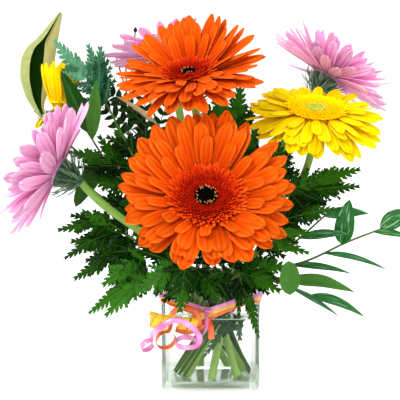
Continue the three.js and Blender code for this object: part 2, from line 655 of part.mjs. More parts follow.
function petalsSolid(bloom) {
  const roll = dice(Math.round(bloom.reach * 977 + bloom.slot));
  const neck = bloom.disc + 2;
  const whorls = bloom.layers.map(([count, share, lift, width], layer) => {
    const height = 1.8 * layer - 1.5;
    const petals = Array.from({ length: count }, (_, i) => {
      const middle = (2 * Math.PI * (i + 0.5 * (layer % 2))) / count;
      const angle = middle + rad(1.6) * roll();
      const length = (bloom.reach * share - neck) * roundBloom(bloom.stretch, angle) * (1 + 0.07 * roll());
      const rise = rad(roundBloom(bloom.cup, angle) + lift + 2 * roll());
      const curl = rad(roundBloom(bloom.curl, angle) * (1 + 0.4 * roll()));
      const sections = petalSections(angle, neck, height, length, rise, curl, width, rad(7) * roll());
      return { start: middle - Math.PI / count, middle, sections };
    });
    return whorlSolid(Math.min(10, bloom.disc - 3), height, petals);
  });
  return join([...whorls, turned([[0, -3.2], [6, -3.2], [6, 2.9], [0, 2.9]], 6)]);
}

// The disc: a shallow dish whose skin is raised into florets by moving every other vertex
function discSolid(bloom) {
  const { disc, eye } = bloom;
  const around = disc > 20 ? 20 : disc > 15 ? 14 : 10;
  const rows = [
    [eye + 0.4, 4.4, 0],
    [eye + (disc - eye) * 0.3, 5.6, 1.3],
    [eye + (disc - eye) * 0.62, 7.2, 1.8],
    [disc - 1, 5.8, 1.6],
    [disc, 3.6, 0],
  ];
  const points = [new THREE.Vector3(0, 0, 4.4)];
  rows.forEach(([radius, height, bump], row) => {
    for (let j = 0; j < around; j++) {
      const turn = (2 * Math.PI * (j + 0.5 * (row % 2))) / around;
      const raised = j % 2 ? bump : -bump * 0.3;
      points.push(new THREE.Vector3(radius * Math.cos(turn), radius * Math.sin(turn), height + raised));
    }
  });
  points.push(new THREE.Vector3(0, 0, 3.2));
  const triangles = [];
  for (let j = 0; j < around; j++) {
    const k = (j + 1) % around;
    triangles.push([0, 1 + j, 1 + k]);
    for (let row = 0; row + 1 < rows.length; row++) {
      const near = 1 + row * around;
      const far = near + around;
      if (row % 2) {
        triangles.push([near + j, far + j, far + k], [near + j, far + k, near + k]);
      } else {
        triangles.push([near + j, far + j, near + k], [near + k, far + j, far + k]);
      }
    }
    const last = 1 + (rows.length - 1) * around;
    triangles.push([last + j, points.length - 1, last + k]);
  }
  return closedSolid(points, triangles);
}

function eyeSolid(bloom) {
  const low = 4.4 + GAP;
  const rim = bloom.eye - GAP;
  return turned([[0, low], [rim, low], [rim - 0.6, low + 1], [0, low + 1.9]], 8);
}

// The green cup below the petals, with a ring of pointed scales
function cupSolid() {
  const at = (radius, turn, height) =>
    new THREE.Vector3(radius * Math.cos(turn), radius * Math.sin(turn), height);
  const parts = [turned([[0, -25], [3.4, -25], [6.5, -20], [10.5, -12], [12.5, -3.5], [0, -3.5]], 7)];
  for (let i = 0; i < 7; i++) {
    const turn = (2 * Math.PI * (i + 0.5)) / 7;
    parts.push(loft([
      [at(9.4, turn - 0.11, -12), at(9.4, turn + 0.11, -12), at(8, turn, -9)],
      [at(16.5, turn, -5.5)],
    ]));
  }
  return join(parts);
}

function flowerCurve(bloom) {
  const axis = vec(bloom.facing).normalize();
  const end = vec(bloom.centre).addScaledVector(axis, -23);
  const arrival = vec(bloom.arrival ?? bloom.facing).normalize();
  return freeStem(THICK, bloom.slot, end, arrival);
}

function addBloom(bloom) {
  const group = bloomGroup(bloom);
  bouquet.add(group);
  group.updateMatrixWorld(true);
  const cup = cupSolid().transform(group.matrixWorld.toArray());
  const stem = stemSolid(THICK, bloom.slot, 0, flowerCurve(bloom));
  const stalk = join([cup, stem.trimByPlane([0, 0, 1], VASE.floor + GAP)]);
  addPiece('stem_' + bloom.name, 'flower_stem', stalk);
  addPiece('petals_' + bloom.name, bloom.kind + '_petal', petalsSolid(bloom), group);
  addPiece('disc_' + bloom.name, bloom.kind + '_disc', discSolid(bloom), group);
  addPiece('eye_' + bloom.name, bloom.eyeLook, eyeSolid(bloom), group);
}

// Ribbons

function strip(stations) {
  return loft(stations.map(({ point, wide }, i) => {
    const ahead = stations[Math.min(i + 1, stations.length - 1)].point;
    const behind = stations[Math.max(i - 1, 0)].point;
    return stripSection(point, ahead.clone().sub(behind).normalize(), wide);
  }));
}

function stripSection(point, along, wide) {
  const side = wide.clone().addScaledVector(along, -wide.dot(along)).normalize();
  const normal = new THREE.Vector3().crossVectors(along, side);
  return [[-1, -1], [1, -1], [1, 1], [-1, 1]].map(([a, b]) => point.clone()
    .addScaledVector(side, (a * RIBBON.width) / 2)
    .addScaledVector(normal, (b * RIBBON.thick) / 2));
}

// Turns about an axis by the right hand, starting on the side given and drifting along the axis
function loopStations({ loop, axis, radius, from, turns, drift = 0, flare = 0 }) {
  const steps = Math.ceil(Math.abs(turns) * 6);
  const wide = vec(axis).normalize();
  const first = vec(from).addScaledVector(wide, -vec(from).dot(wide)).normalize();
  const second = new THREE.Vector3().crossVectors(wide, first);
  return Array.from({ length: steps + 1 }, (_, i) => {
    const turn = (2 * Math.PI * turns * i) / steps;
    const outward = first.clone().multiplyScalar(Math.cos(turn)).addScaledVector(second, Math.sin(turn));
    const point = vec(loop).addScaledVector(outward, radius).addScaledVector(wide, (drift * i) / steps);
    return { point, wide: wide.clone().addScaledVector(outward, flare) };
  });
}

// The ring of one ribbon: level round the sides and back, dipping to the knot in front
function bandSolid(order) {
  const half = VASE.side / 2 + 0.75 + order * RIBBON.layer;
  const corner = VASE.corner + 0.75 + order * RIBBON.layer;
  const [knotX, knotZ] = RIBBON.knot;
  const stations = [];
  const add = (x, y) => {
    const dip = y < 0.1 - half ? 1 - Math.abs(x - knotX) / (half - corner) : 0;
    const level = RIBBON.rim + 2.4 * (order - 1);
    const low = knotZ + 5.6 * (order - 1);
    stations.push(new THREE.Vector3(x, y, level + (low - level) * Math.max(dip, 0)));
  };
  for (let side = 0; side < 4; side++) {
    const turn = (side * Math.PI) / 2;
    const rotate = (x, y) => add(
      Math.round(1e4 * (x * Math.cos(turn) - y * Math.sin(turn))) / 1e4,
      Math.round(1e4 * (x * Math.sin(turn) + y * Math.cos(turn))) / 1e4,
    );
    const runs = side === 0 ? [-half + corner, knotX, half - corner] : [-half + corner, half - corner];
    runs.forEach((x) => rotate(x, -half));
    for (const share of [1 / 3, 2 / 3]) {
      const bend = (share * Math.PI) / 2;
      rotate(half - corner + corner * Math.sin(bend), -half + corner - corner * Math.cos(bend));
    }
  }
  const rings = stations.map((point, i) => {
    const ahead = stations[(i + 1) % stations.length];
    const behind = stations[(i + stations.length - 1) % stations.length];
    const along = ahead.clone().sub(behind).normalize();
    return stripSection(point, along, UP);
  });
  const points = rings.flat();
  const triangles = [];
  rings.forEach((_, i) => {
    const next = (i + 1) % rings.length;
    for (let j = 0; j < 4; j++) {
      const k = (j + 1) % 4;
      triangles.push([4 * i + j, 4 * i + k, 4 * next + k]);
      triangles.push([4 * i + j, 4 * next + k, 4 * next + j]);
    }
  });
  return closedSolid(points, triangles);
}

function ribbonSolid({ order, tails }) {
  const [knotX, knotZ] = RIBBON.knot;
  const half = VASE.side / 2 + 0.75 + order * RIBBON.layer;
  const knot = new THREE.Vector3(knotX, -half, knotZ + 5.6 * (order - 1));
  const parts = [bandSolid(order)];
  const lump = (x, reach, tall) => [[-1, -1], [1, -1], [1, 1], [-1, 1]].map(([a, b]) =>
    new THREE.Vector3(knotX + x, knot.y - 1.6 + a * reach, knot.z + b * tall));
  parts.push(loft([lump(-3.5, 1.2, 1.6), lump(-1.5, 2, 2.5), lump(1.5, 2, 2.5), lump(3.5, 1.2, 1.6)]));
  tails.forEach((tail, i) => {
    const stations = tail.flatMap((item) =>
      item.loop ? loopStations(item) : [{ point: vec(item.at), wide: vec(item.wide) }]);
    const start = knot.clone().add(new THREE.Vector3(1.2 * (i - 1), -2.5, 0));
    parts.push(strip([{ point: start, wide: stations[0].wide }, ...stations]));
  });
  return join(parts);
}

// Greenery

function bladeFrame(route, face, t) {
  const along = route.getTangent(t);
  const side = new THREE.Vector3().crossVectors(along, face).normalize();
  const normal = new THREE.Vector3().crossVectors(side, along).normalize();
  return { point: route.getPoint(t), side, normal };
}

// A thin arched blade whose outline is cut to the rib: pointed leaflets on a fern, blunt on a sprig
function lanceSolid(route, face, blade, grow) {
  const rib = LANCE.rib / 2 + grow;
  const step = (1 - blade.bare) / (blade.pairs + 0.7);
  const outline = [[0, rib], [blade.bare, rib]];
  const notches = [0, 1];
  for (let i = 0; i < blade.pairs; i++) {
    const t = blade.bare + step * i;
    const share = (i + 0.5) / blade.pairs;
    const shape = blade.kind === 'sprig' ? 1 : Math.min(1, 0.55 + 1.8 * share) * (1 - share) ** 0.6;
    const reach = rib + grow + blade.half * shape;
    const tips = blade.kind === 'sprig' ? [[0.25, 0.75], [0.85, 1]] : [[0.95, 1]];
    tips.forEach(([ahead, out]) => outline.push([t + step * ahead, reach * out]));
    outline.push([t + step * (blade.kind === 'sprig' ? 0.55 : 1), rib]);
    notches.push(outline.length - 1);
    if (blade.kind === 'sprig') {
      outline.push([t + step, rib]);
      notches.push(outline.length - 1);
    }
  }
  const total = 2 * outline.length + 1;
  const mirror = (i) => total - 1 - i;
  const flat = [...outline, [1, 0], ...outline.map(([t, across]) => [t, -across]).reverse()];
  const faces = [];
  for (let n = 0; n + 1 < notches.length; n++) {
    const [near, far] = [notches[n], notches[n + 1]];
    faces.push([mirror(near), near, far], [mirror(near), far, mirror(far)]);
    for (let j = near + 1; j < far; j++) {
      faces.push([near, j, j + 1], [mirror(near), mirror(j + 1), mirror(j)]);
    }
  }
  const last = notches.at(-1);
  faces.push([mirror(last), last, outline.length]);
  const place = (sign) => flat.map(([t, across]) => {
    const { point, side, normal } = bladeFrame(route, face, t);
    return point.addScaledVector(side, across)
      .addScaledVector(normal, sign * (LANCE.thick / 2 + grow) - 0.012 * across * across);
  });
  const triangles = [];
  faces.forEach(([a, b, c]) => triangles.push([a, b, c], [total + a, total + c, total + b]));
  for (let i = 0; i < total; i++) {
    const k = (i + 1) % total;
    triangles.push([total + i, total + k, k], [total + i, k, i]);
  }
  return closedSolid([...place(1), ...place(-1)], triangles);
}

function leafSolid(route, face, blade, grow) {
  const wide = blade.half;
  const outline = [[0, 0.8], [0.14, 0.9], [0.36, wide], [0.64, wide * 0.86], [0.87, wide * 0.4]];
  const rings = outline.map(([t, half]) => {
    const { point, side, normal } = bladeFrame(route, face, t);
    point.addScaledVector(normal, grow);
    return wedge(point, side, normal.negate(), half + grow, BLADE_KEEL + 2 * grow);
  });
  return loft([...rings, [route.getPoint(1)]]);
}

function budSolid(route, face, blade, grow) {
  const bud = new THREE.OctahedronGeometry(blade.half + grow).scale(1, 1, 1.5);
  bud.translate(...route.getPoint(1).toArray());
  return join([rod(route.getPoints(2), 0.6 + grow, 4), solidOf(bud)]);
}

// A blade swung from its place in small steps until it clears everything already placed
function clearBlade(start, blade) {
  const build = { leaf: leafSolid, bud: budSolid }[blade.kind] ?? lanceSolid;
  const tip = vec(blade.tip);
  const face = LEAF_FACE.clone();
  const reach = tip.clone().sub(start);
  if (start.y > 25) face.y = -face.y;
  const side = new THREE.Vector3().crossVectors(reach, face).normalize();
  for (const [size, swings] of [[0, 1], [5, 4], [10, 4], [15, 8], [21, 8], [28, 8]]) {
    for (let k = 0; k < swings; k++) {
      const turn = (2 * Math.PI * k) / swings;
      const pull = face.clone().multiplyScalar(Math.cos(turn)).addScaledVector(side, Math.sin(turn));
      const swung = reach.clone().normalize().addScaledVector(pull, Math.tan(rad(size))).normalize();
      const end = start.clone().addScaledVector(swung, reach.length() * (1 - size / 120));
      const middle = start.clone().lerp(end, 0.5).addScaledVector(UP, blade.arch);
      const route = new THREE.QuadraticBezierCurve3(start, middle, end);
      if (isClear(build(route, face, blade, GAP / 2))) return build(route, face, blade, 0);
    }
  }
  return null;
}

// A thin stem is given the free slot nearest to its heading from which it runs clear of the rest,
// its free part moved sideways in small steps where it has to be.
const freeSlots = Array.from({ length: THIN.slots }, (_, i) => (360 * i) / THIN.slots);

function clearStem({ foot, end, path = [] }) {
  const heading = THREE.MathUtils.radToDeg(Math.atan2(end[1], end[0])) - 78;
  const far = (slot) => Math.abs(THREE.MathUtils.euclideanModulo(slot - heading + 180, 360) - 180);
  const slots = [...freeSlots].sort((a, b) => far(a) - far(b));
  for (const shift of [0, 4, -4, 8, -8, 12, -12]) {
    for (const slot of slots.slice(0, shift ? THIN.slots : 6)) {
      for (const axis of [new THREE.Vector3(0, 1, 0), new THREE.Vector3(1, 0, 0), UP]) {
        const moved = vec(end).addScaledVector(axis, shift);
        const middle = path.map((p) => vec(p).addScaledVector(axis, shift).toArray());
        const outward = moved.clone().sub(bundlePoint(THIN, slot, BUNDLE.exit)).normalize();
        const curve = freeStem(THIN, slot, moved, outward, middle);
        if (!isClear(stemSolid(THIN, slot, foot, curve, GAP))) continue;
        freeSlots.splice(freeSlots.indexOf(slot), 1);
        holes.push(stemHole(THIN, slot, foot));
        return { curve, solid: stemSolid(THIN, slot, foot, curve) };
      }
    }
  }
  return null;
}

function addGreen(green) {
  const { curve, solid } = clearStem(green);
  const blades = green.blades.map((blade) => clearBlade(curve.getPoint(blade.at), blade));
  addPiece(green.name, green.look, join([solid, ...blades.filter(Boolean)]));
}

// The large leaf rolled into a boat: an open section from margin to margin, dark side inwards
function foldedLeafSolid(start) {
  const { line, halves, section, thick } = FOLDED_LEAF;
  const route = new THREE.CatmullRomCurve3([start, ...line.map(vec)]);
  const rings = (inwards) => halves.map((half, i) => {
    const { point, side, normal } = bladeFrame(route, LEAF_FACE, i / (halves.length - 1));
    const share = inwards ? 1 - Math.min(0.5, thick / (half * 0.8)) : 1;
    return section.map(([a, b]) => point.clone()
      .addScaledVector(side, a * half * share)
      .addScaledVector(normal, b * half * share));
  });
  return skin(rings(false), rings(true));
}

function addFoldedLeaf() {
  const { curve, solid } = clearStem(FOLDED_LEAF);
  addPiece(FOLDED_LEAF.name, FOLDED_LEAF.look, join([solid, foldedLeafSolid(curve.getPoint(1))]));
}

// The bouquet, from the vase outwards

const holes = BLOOMS.map(({ slot }) => stemHole(THICK, slot, 0));
addPiece('vase', 'glass', vaseSolid());
for (const ribbon of RIBBONS) addPiece(ribbon.name, ribbon.look, ribbonSolid(ribbon));
BLOOMS.forEach(addBloom);
addFoldedLeaf();
GREENS.forEach(addGreen);
addPiece('water', 'water', waterSolid(holes));

export default bouquet;
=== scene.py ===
import math

import bpy
import numpy as np
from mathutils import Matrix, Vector


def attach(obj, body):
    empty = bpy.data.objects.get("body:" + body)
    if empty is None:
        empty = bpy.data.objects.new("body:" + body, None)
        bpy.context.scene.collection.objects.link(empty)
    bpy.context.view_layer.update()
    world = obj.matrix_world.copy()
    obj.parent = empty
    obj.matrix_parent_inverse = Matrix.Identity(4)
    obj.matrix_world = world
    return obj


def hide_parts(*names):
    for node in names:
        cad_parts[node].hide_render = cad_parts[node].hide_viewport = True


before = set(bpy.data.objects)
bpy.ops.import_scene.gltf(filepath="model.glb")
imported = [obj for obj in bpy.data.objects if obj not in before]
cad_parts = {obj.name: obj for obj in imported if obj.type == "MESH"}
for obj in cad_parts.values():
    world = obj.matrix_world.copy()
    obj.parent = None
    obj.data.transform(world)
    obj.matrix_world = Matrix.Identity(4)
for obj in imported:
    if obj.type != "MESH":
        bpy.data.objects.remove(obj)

# Everything below is in millimetres in the row frame until a mesh is made.
MM = 0.001
UP = np.array([0.0, 0.0, 1.0])
RIGHT = np.array([1.0, 0.0, 0.0])
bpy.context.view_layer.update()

VASE = {"side": 80.0, "height": 85.0, "wall": 4.0, "floor": 6.5, "corner": 6.0, "bore": 3.0}
WATER_TOP = 60.0

# Every stem leans across one waist in the vase, flower stems on the inner ring, thin ones outside
BUNDLE = {"centre": (2.0, 0.0), "waist": 48.0, "exit": 92.0}
THICK = {"radius": 3.2, "ring": 8.5, "slope": 0.614}
THIN = {"ring": 17.0, "slope": 0.66}
THIN_FOOT = 8

# Leaves turn their upper side forwards and up, or backwards and up behind BEHIND
LEAF_FACE = np.array([0.0, -0.75, 0.66])
BEHIND = 25

# Blooms: centre of the petals' ring, the way it faces, radii of petals, disc and eye, and the stem's
# place round the waist. Cup is how far the petals rise (degrees) at the upper, side and lower edge,
# curl how far they bend back there and stretch how much longer they are. A layer is its number of
# petals, their share of the reach, rise and width. Left is the extra rise on the left, wide and wild
# are factors of the width and of all that varies by chance, fallen the turns of drooping petals and
# arrival the way the stem comes in, where it isn't the way the bloom faces.
BLOOMS = [
    dict(name="orange_front", centre=(-4, -100, 168), facing=(0, -0.68, 0.73), reach=64, disc=26, eye=9,
         slot=236, kind="orange", dark=True, cup=(32, 4, 6), curl=(3, 5, 9), stretch=(1.18, 1, 0.92),
         layers=((25, 1.0, -3, 13.4), (23, 0.95, 3, 12.6), (19, 0.86, 9, 11), (14, 0.7, 15, 8.8))),
    dict(name="orange_top", centre=(-17, -45, 255.5), facing=(-0.17, -0.36, 0.92), reach=60, disc=19,
         eye=6, slot=184, kind="orange", dark=True, cup=(36, 2, 4), curl=(2, 12, 16),
         stretch=(1.04, 1, 0.9), left=12,
         layers=((25, 1.0, -3, 10.6), (23, 0.95, 5, 10), (18, 0.82, 11, 9.2), (12, 0.64, 17, 7.6))),
    dict(name="yellow_right", centre=(85, -15, 225), facing=(0.05, -0.29, 0.956), reach=55, disc=23,
         eye=7.5, slot=287, kind="yellow", dark=False, cup=(0, -5, -20), curl=(8, 12, 14),
         stretch=(1.05, 1.03, 1.03),
         layers=((25, 1.0, -3, 12), (23, 0.95, 4, 11.2), (19, 0.86, 9, 10), (12, 0.74, 13, 8))),
    dict(name="pink_right", centre=(104, 62, 253), facing=(0.53, 0.13, 0.84), reach=56, disc=15, eye=5,
         slot=339, kind="pink", dark=False, cup=(0, 2, 0), curl=(0, 0, 0), wide=1.12, wild=1.8,
         layers=((24, 1.0, 0, 9), (22, 0.96, 15, 8.6), (18, 0.88, 30, 8), (14, 0.78, 44, 7),
                 (10, 0.62, 56, 6))),
    dict(name="pink_left", centre=(-124, -28, 180), facing=(-0.9, 0.1, 0.42), reach=58, disc=15, eye=5,
         slot=133, kind="pink", dark=False, cup=(8, 14, 12), curl=(4, 4, 4), arrival=(-0.62, 0.3, 0.72),
         wide=1.3, wild=2.0,
         layers=((24, 1.0, 0, 9.4), (22, 0.95, 13, 8.8), (17, 0.84, 27, 8), (12, 0.66, 38, 6.5))),
    dict(name="pink_back", centre=(-39, 66, 272), facing=(-0.25, 0.35, 0.9), reach=50, disc=15, eye=5,
         slot=30, kind="pink", dark=False, cup=(0, 2, 4), curl=(6, 6, 6), wide=1.1, wild=1.6,
         layers=((22, 1.0, 2, 9), (19, 0.92, 14, 8.5), (13, 0.75, 26, 7))),
    dict(name="yellow_left", centre=(-130, 52, 225), facing=(0.04, 0.12, 0.99), reach=46, disc=10, eye=4,
         slot=81, kind="yellow", dark=False, cup=(0, 0, 0), curl=(-12, -12, -12), fallen=(10, 48),
         layers=((14, 1.0, 68, 9), (11, 0.94, 76, 8), (7, 0.84, 83, 6.5))),
]

# Greenery: where the stem branches, and the blades that spring from its free part (share of the way,
# tip, half width, arch and, for one, the point where its own stalk ends). Shaded fronds, given a dark
# tint as painted shade, close up the foliage, wet ones hang in the water and sprigs stand beside the
# stem: start, tip, half width. Companions are the smaller fronds behind the blades, darker by painted
# shade, and darker is taken off the leaves' tint.
GREENS = [
    dict(name="bud_stalks", look="dark_sprig", kind="bud", slot=55.4, end=(-74, 78, 232),
         blades=[(1, (-76.2, 94.1, 283.7), 2, 0), (0.97, (-66.6, 92.6, 291.5), 2, 0),
                 (0.94, (-84.4, 86.2, 269.7), 2, 0)]),
    dict(name="ruscus_right", look="ruscus", slot=276.9, end=(150, -4, 131),
         path=((74, -30, 105), (112, -20, 120)),
         blades=[(0.72, (112, -26, 156), 8.5, 1), (0.94, (169, 4, 142), 8, 3),
                 (0.9, (168, -10, 121), 3.5, 3), (0.62, (144, -26, 98), 3, 6),
                 (0.45, (114, -36, 97), 3, 5)]),
    dict(name="ruscus_upper", look="ruscus", slot=263.1, end=(92, -24, 142), path=((66, -22, 118),),
         blades=[(1, (130.2, -11, 141.9), 5.5, 4), (0.75, (112, -28, 128), 4, 4)]),
    dict(name="ruscus_low", look="ruscus", slot=249.2, end=(78, -56, 84), path=((46, -50, 96),),
         blades=[(1, (122, -54, 66), 4, 8), (0.85, (100, -66, 70), 2.5, 3)]),
    dict(name="sprig_left", look="dark_sprig", kind="sprig", slot=83.1, end=(-58, 34, 206),
         blades=[(1, (-93, 58, 243), 8, 2), (0.85, (-70, 62, 228), 8, 2), (0.8, (-36, 22, 232), 8, 2),
                 (0.9, (-56, 38, 241), 8, 2), (0.7, (-82, 26, 214), 8, 2)],
         sprigs=[((-62, 34, 203), (-97, 34, 229), 7.5), ((-54, 34, 208), (-80, 30, 236), 7.5)]),
    dict(name="dry_leaves", look="dry_leaf", slot=41.5, end=(-48, 32, 222),
         blades=[(1, (-52.9, 38.6, 251.1), 6, 2), (0.9, (-79.7, 29.4, 235.9), 5, 4),
                 (0.75, (2, 40, 226), 7, 4)]),
    dict(name="fern_back_left", slot=27.7, foot=46, end=(-52, 62, 160),
         blades=[(1, (-76, 92, 204), 15, 5), (0.9, (-104, 84, 160), 14, 8),
                 (0.6, (-72, 84, 104), 14, 12)],
         shaded=[((-50, 60, 168), (-74, 54, 190), 12), ((-52, 62, 164), (-48, 66, 196), 12)]),
    dict(name="fern_back", slot=13.8, foot=46, end=(2, 66, 158),
         blades=[(1, (-12, 100, 206), 15, 5), (0.9, (24, 104, 176), 14, 8),
                 (0.55, (-8, 92, 92), 14, 12)],
         shaded=[((0, 50, 150), (-34, 40, 168), 12), ((4, 50, 146), (34, 40, 160), 12)]),
    dict(name="fern_back_right", slot=318.5, foot=46, end=(58, 48, 156),
         blades=[(1, (70, 92, 196), 15, 5), (0.9, (110, 66, 160), 14, 8),
                 (0.6, (70, 74, 104), 14, 12)]),
    dict(name="broad_leaves_left", look="broad_leaf", slot=110.8, end=(-104, 26, 206), darker=1.1,
         blades=[(1, (-126, 30, 257), 10, 3), (0.95, (-95, 22, 251), 8, 3),
                 (0.8, (-112, -2, 146), 11, 6)]),
    dict(name="fern_top", slot=332.3, foot=50, end=(17, 22, 196),
         blades=[(1, (5, 18, 247), 10, 0), (0.95, (26, 24, 247), 10, 0), (0.8, (42, 14, 214), 10, 2)]),
    dict(name="fern_right", slot=290.8, foot=44, end=(60, -16, 160),
         blades=[(1, (121, -18, 180), 10, 4), (0.95, (119, -30, 168), 10, 4),
                 (0.7, (94, -8, 150), 10, 4), (0.9, (56, -6, 200), 12, 4),
                 (0.6, (78, -2, 126), 11, 4)]),
    dict(name="fern_right_low", slot=193.8, foot=46, end=(56, -26, 138),
         blades=[(1, (98, -40, 151), 8, 3), (0.7, (78, -44, 116), 9, 4), (0.8, (80, -36, 130), 8, 3)],
         shaded=[((50, -22, 134), (70, -34, 138), 8), ((48, -22, 128), (70, -36, 122), 8)]),
    dict(name="broad_leaves_right", look="broad_leaf", slot=235.4, end=(63, -48, 94),
         blades=[(1, (60, -65, 114), 10.6, 2, (62, -60, 86)), (0.95, (115, -44, 84), 8, 7)]),
    dict(name="fern_upper_left", slot=166.2, foot=40, end=(-92, 36, 238), material="blue_fern",
         companions=False,
         blades=[(0.9, (-132, 42, 283), 14, 4), (0.95, (-104, 45, 279), 8, 2),
                 (0.98, (-94, 46, 277), 8, 2)]),
    dict(name="fern_left", slot=124.6, foot=44, end=(-72, 8, 176),
         blades=[(1, (-116.9, 1.2, 191.8), 9, 4), (0.85, (-78, 22, 212), 12, 3),
                 (0.6, (-90.8, 11, 151.9), 10, 4), (0.75, (-55, 5, 199), 12, 3),
                 (0.92, (-93, 12, 204), 10, 3), (0.8, (-100, 2, 168), 10, 3)],
         shaded=[((-66, 10, 176), (-92, 0, 180), 10), ((-64, 10, 180), (-66, 6, 206), 10),
                 ((-60, 12, 168), (-84, 14, 160), 10), ((-62, 10, 186), (-86, 8, 204), 10)]),
    dict(name="fern_left_low", slot=138.5, foot=42, end=(-78, -18, 132),
         blades=[(1, (-123, -30, 132), 9, 8), (0.9, (-119, -26, 108), 9, 8),
                 (0.8, (-104, -24, 146), 6, 5), (0.85, (-64, -16, 160), 11, 4),
                 (0.7, (-52, -24, 132), 10, 4)],
         shaded=[((-66, -8, 140), (-84, -8, 158), 10), ((-62, -10, 132), (-92, -20, 134), 10)]),
    dict(name="fern_left_dark", slot=152.3, foot=46, end=(-62, -14, 112),
         blades=[(1, (-113, -14, 88), 15, 8), (0.9, (-116, -4, 118), 14, 6),
                 (0.7, (-88, -28, 86), 12, 5), (0.6, (-54.5, -18.1, 133.3), 12, 4)],
         shaded=[((-58, -10, 116), (-88, -6, 104), 10), ((-52, -12, 108), (-80, -22, 112), 10)]),
    dict(name="fern_lower_left", slot=180, foot=44, end=(-46, -32, 96),
         blades=[(1, (-100.5, -22.3, 60.9), 12, 10), (0.95, (-85, -42, 64), 12, 9)]),
    dict(name="fern_front", slot=207.7, foot=42, end=(-20, -50, 108),
         blades=[(1, (-24, -68, 74), 15, 6), (0.9, (-58, -58, 88), 14, 8), (0.8, (6, -66, 82), 12, 8)],
         shaded=[((-14, -34, 86), (6, -48, 84), 11), ((-16, -34, 88), (-38, -50, 78), 10),
                 ((-8, -34, 94), (14, -50, 94), 11), ((-12, -32, 82), (-20, -46, 98), 10),
                 ((-10, -16, 88), (-24, -33, 76), 9), ((-4, -16, 86), (2, -33, 70), 9),
                 ((-14, -36, 100), (-30, -46, 122), 11), ((-10, -36, 102), (6, -46, 124), 11),
                 ((-12, -28, 98), (-8, -30, 130), 12), ((-18, -26, 100), (-44, -28, 128), 12),
                 ((-16, -30, 98), (-58, -34, 116), 12), ((-4, -46, 97), (-4, -54, 80), 9),
                 ((2, -46, 97), (14, -54, 80), 9)],
         wet=[((-6, -24, 62), (-2, -28, 42), 6), ((8, -22, 64), (12, -26, 46), 6)]),
    dict(name="fern_rim", slot=221.5, foot=48, end=(22, -46, 100),
         blades=[(1, (38, -56, 50), 9, 10), (0.9, (54.3, -59.9, 88.8), 10, 7),
                 (0.75, (-2, -62, 100), 10, 6), (0.9, (65, -42, 104), 10, 5)],
         shaded=[((16, -32, 84), (44, -44, 88), 11), ((10, -34, 82), (14, -46, 100), 11),
                 ((18, -28, 80), (34, -46, 76), 8), ((30, -30, 92), (58, -46, 94), 9),
                 ((12, -14, 86), (20, -33, 70), 9), ((16, -36, 98), (26, -46, 120), 11),
                 ((18, -36, 98), (50, -40, 112), 10), ((10, -28, 98), (10, -30, 130), 12),
                 ((16, -28, 100), (34, -32, 128), 12), ((22, -46, 97), (28, -54, 82), 9),
                 ((26, -44, 98), (46, -52, 84), 8)],
         wet=[((28, -22, 58), (2, -25, 39), 7), ((18, -25, 56), (-5, -29, 27), 6),
              ((22, -24, 62), (24, -27, 40), 6)]),
]

# The rolled leaf: its middle line, half widths along it and its section from margin to margin as
# shares of them, sideways and forwards
FOLDED_LEAF = dict(
    slot=69.2, end=(-148, 96, 206),
    line=((-156, 98, 222), (-157.5, 98, 238), (-156, 98, 254), (-152, 98, 270), (-144, 98, 287),
          (-134, 98, 307)),
    halves=(2, 4, 10, 14.4, 14.8, 12.4, 7, 1.4),
    section=((-0.28, 0.8), (-0.9, 0.55), (-0.95, -0.2), (0, -0.8), (0.95, -0.2), (0.9, 0.5),
             (0.53, 0.75)))

# Ribbons: three bands that clear the glass and each other and dip to the knot in front. Their tails
# run through stations of place and direction of the width, and through loops about an axis.
RIBBON = {"thick": 0.4, "clear": 0.75, "layer": 1.0, "rim": 78.0, "rim_step": 2.4, "band": 3.4,
          "knot": (-2.5, 65.0), "knot_step": 3.6}
RIBBONS = [
    dict(name="orange", order=0, width=5.0, tails=[
        [((-6, -47, 58), (0.3, 1, 0.3)),
         dict(loop=(-20.5, -50, 62), axis=(0.2, 0.95, 0.2), radius=11.5, start=(1, 0, -0.5), turns=-0.6,
              flare=1.2),
         dict(loop=(-36, -50, 46.5), axis=(-0.3, 0.9, 0.3), radius=8, start=(0.2, 0, 1), turns=-0.9)],
        [((0, -46.5, 55), (1, 0, 0.2)), ((0.5, -47.5, 46), (1, 0, 0))],
        [((-10, -45.5, 55), (0, 0.3, 1)), ((-19, -46.5, 52), (0, 0.3, 1)),
         ((-28, -45.5, 54), (0, 0.3, 1))]]),
    dict(name="yellow", order=1, width=5.6, tails=[
        [((-8, -45.7, 64.5), (0, 0.1, 1)), ((-16, -49.5, 63.5), (0.3, 0.1, 1)),
         ((-15.5, -55.5, 64), (0.8, 0, 0.6)),
         dict(loop=(-12, -61, 62), axis=(1, 0, -0.1), radius=4.8, start=(0, 0.2, 1), turns=2, drift=-14),
         dict(loop=(-35, -60.5, 62.5), axis=(1, 0, -0.3), radius=6, start=(0, 0.4, 1), turns=2.2,
              drift=-13)]]),
    dict(name="pink", order=2, width=4.4, tails=[
        [((-3, -51, 62), (-0.6, 0.8, 0)), ((-5, -55, 54), (-0.5, 0.8, -0.2)),
         dict(loop=(-19.7, -58, 46.5), axis=(0, 0.22, -0.97), radius=8.2, start=(0.9, 0.45, 0),
              turns=-0.675),
         ((-12, -68.5, 46.5), (0.3, 0.3, -0.9)), ((-8.5, -70, 52), (0.9, 0.3, -0.2)),
         ((-11, -71, 58.5), (0.9, 0.3, 0.3)), ((-16, -71, 63.5), (0.7, 0.3, 0.6)),
         ((-22, -71, 67), (0.4, 0.3, 0.9)), ((-30, -71, 68), (0, 0.4, 0.9)),
         ((-39, -71, 63), (-0.5, 0.4, 0.8)), ((-46, -69, 56), (-0.7, 0.5, 0.6)),
         dict(loop=(-50, -64, 46), axis=(-0.5, 0.7, 0.5), radius=5.5, start=(0.5, 0, 1), turns=-0.8)]]),
]


# Small mathematics

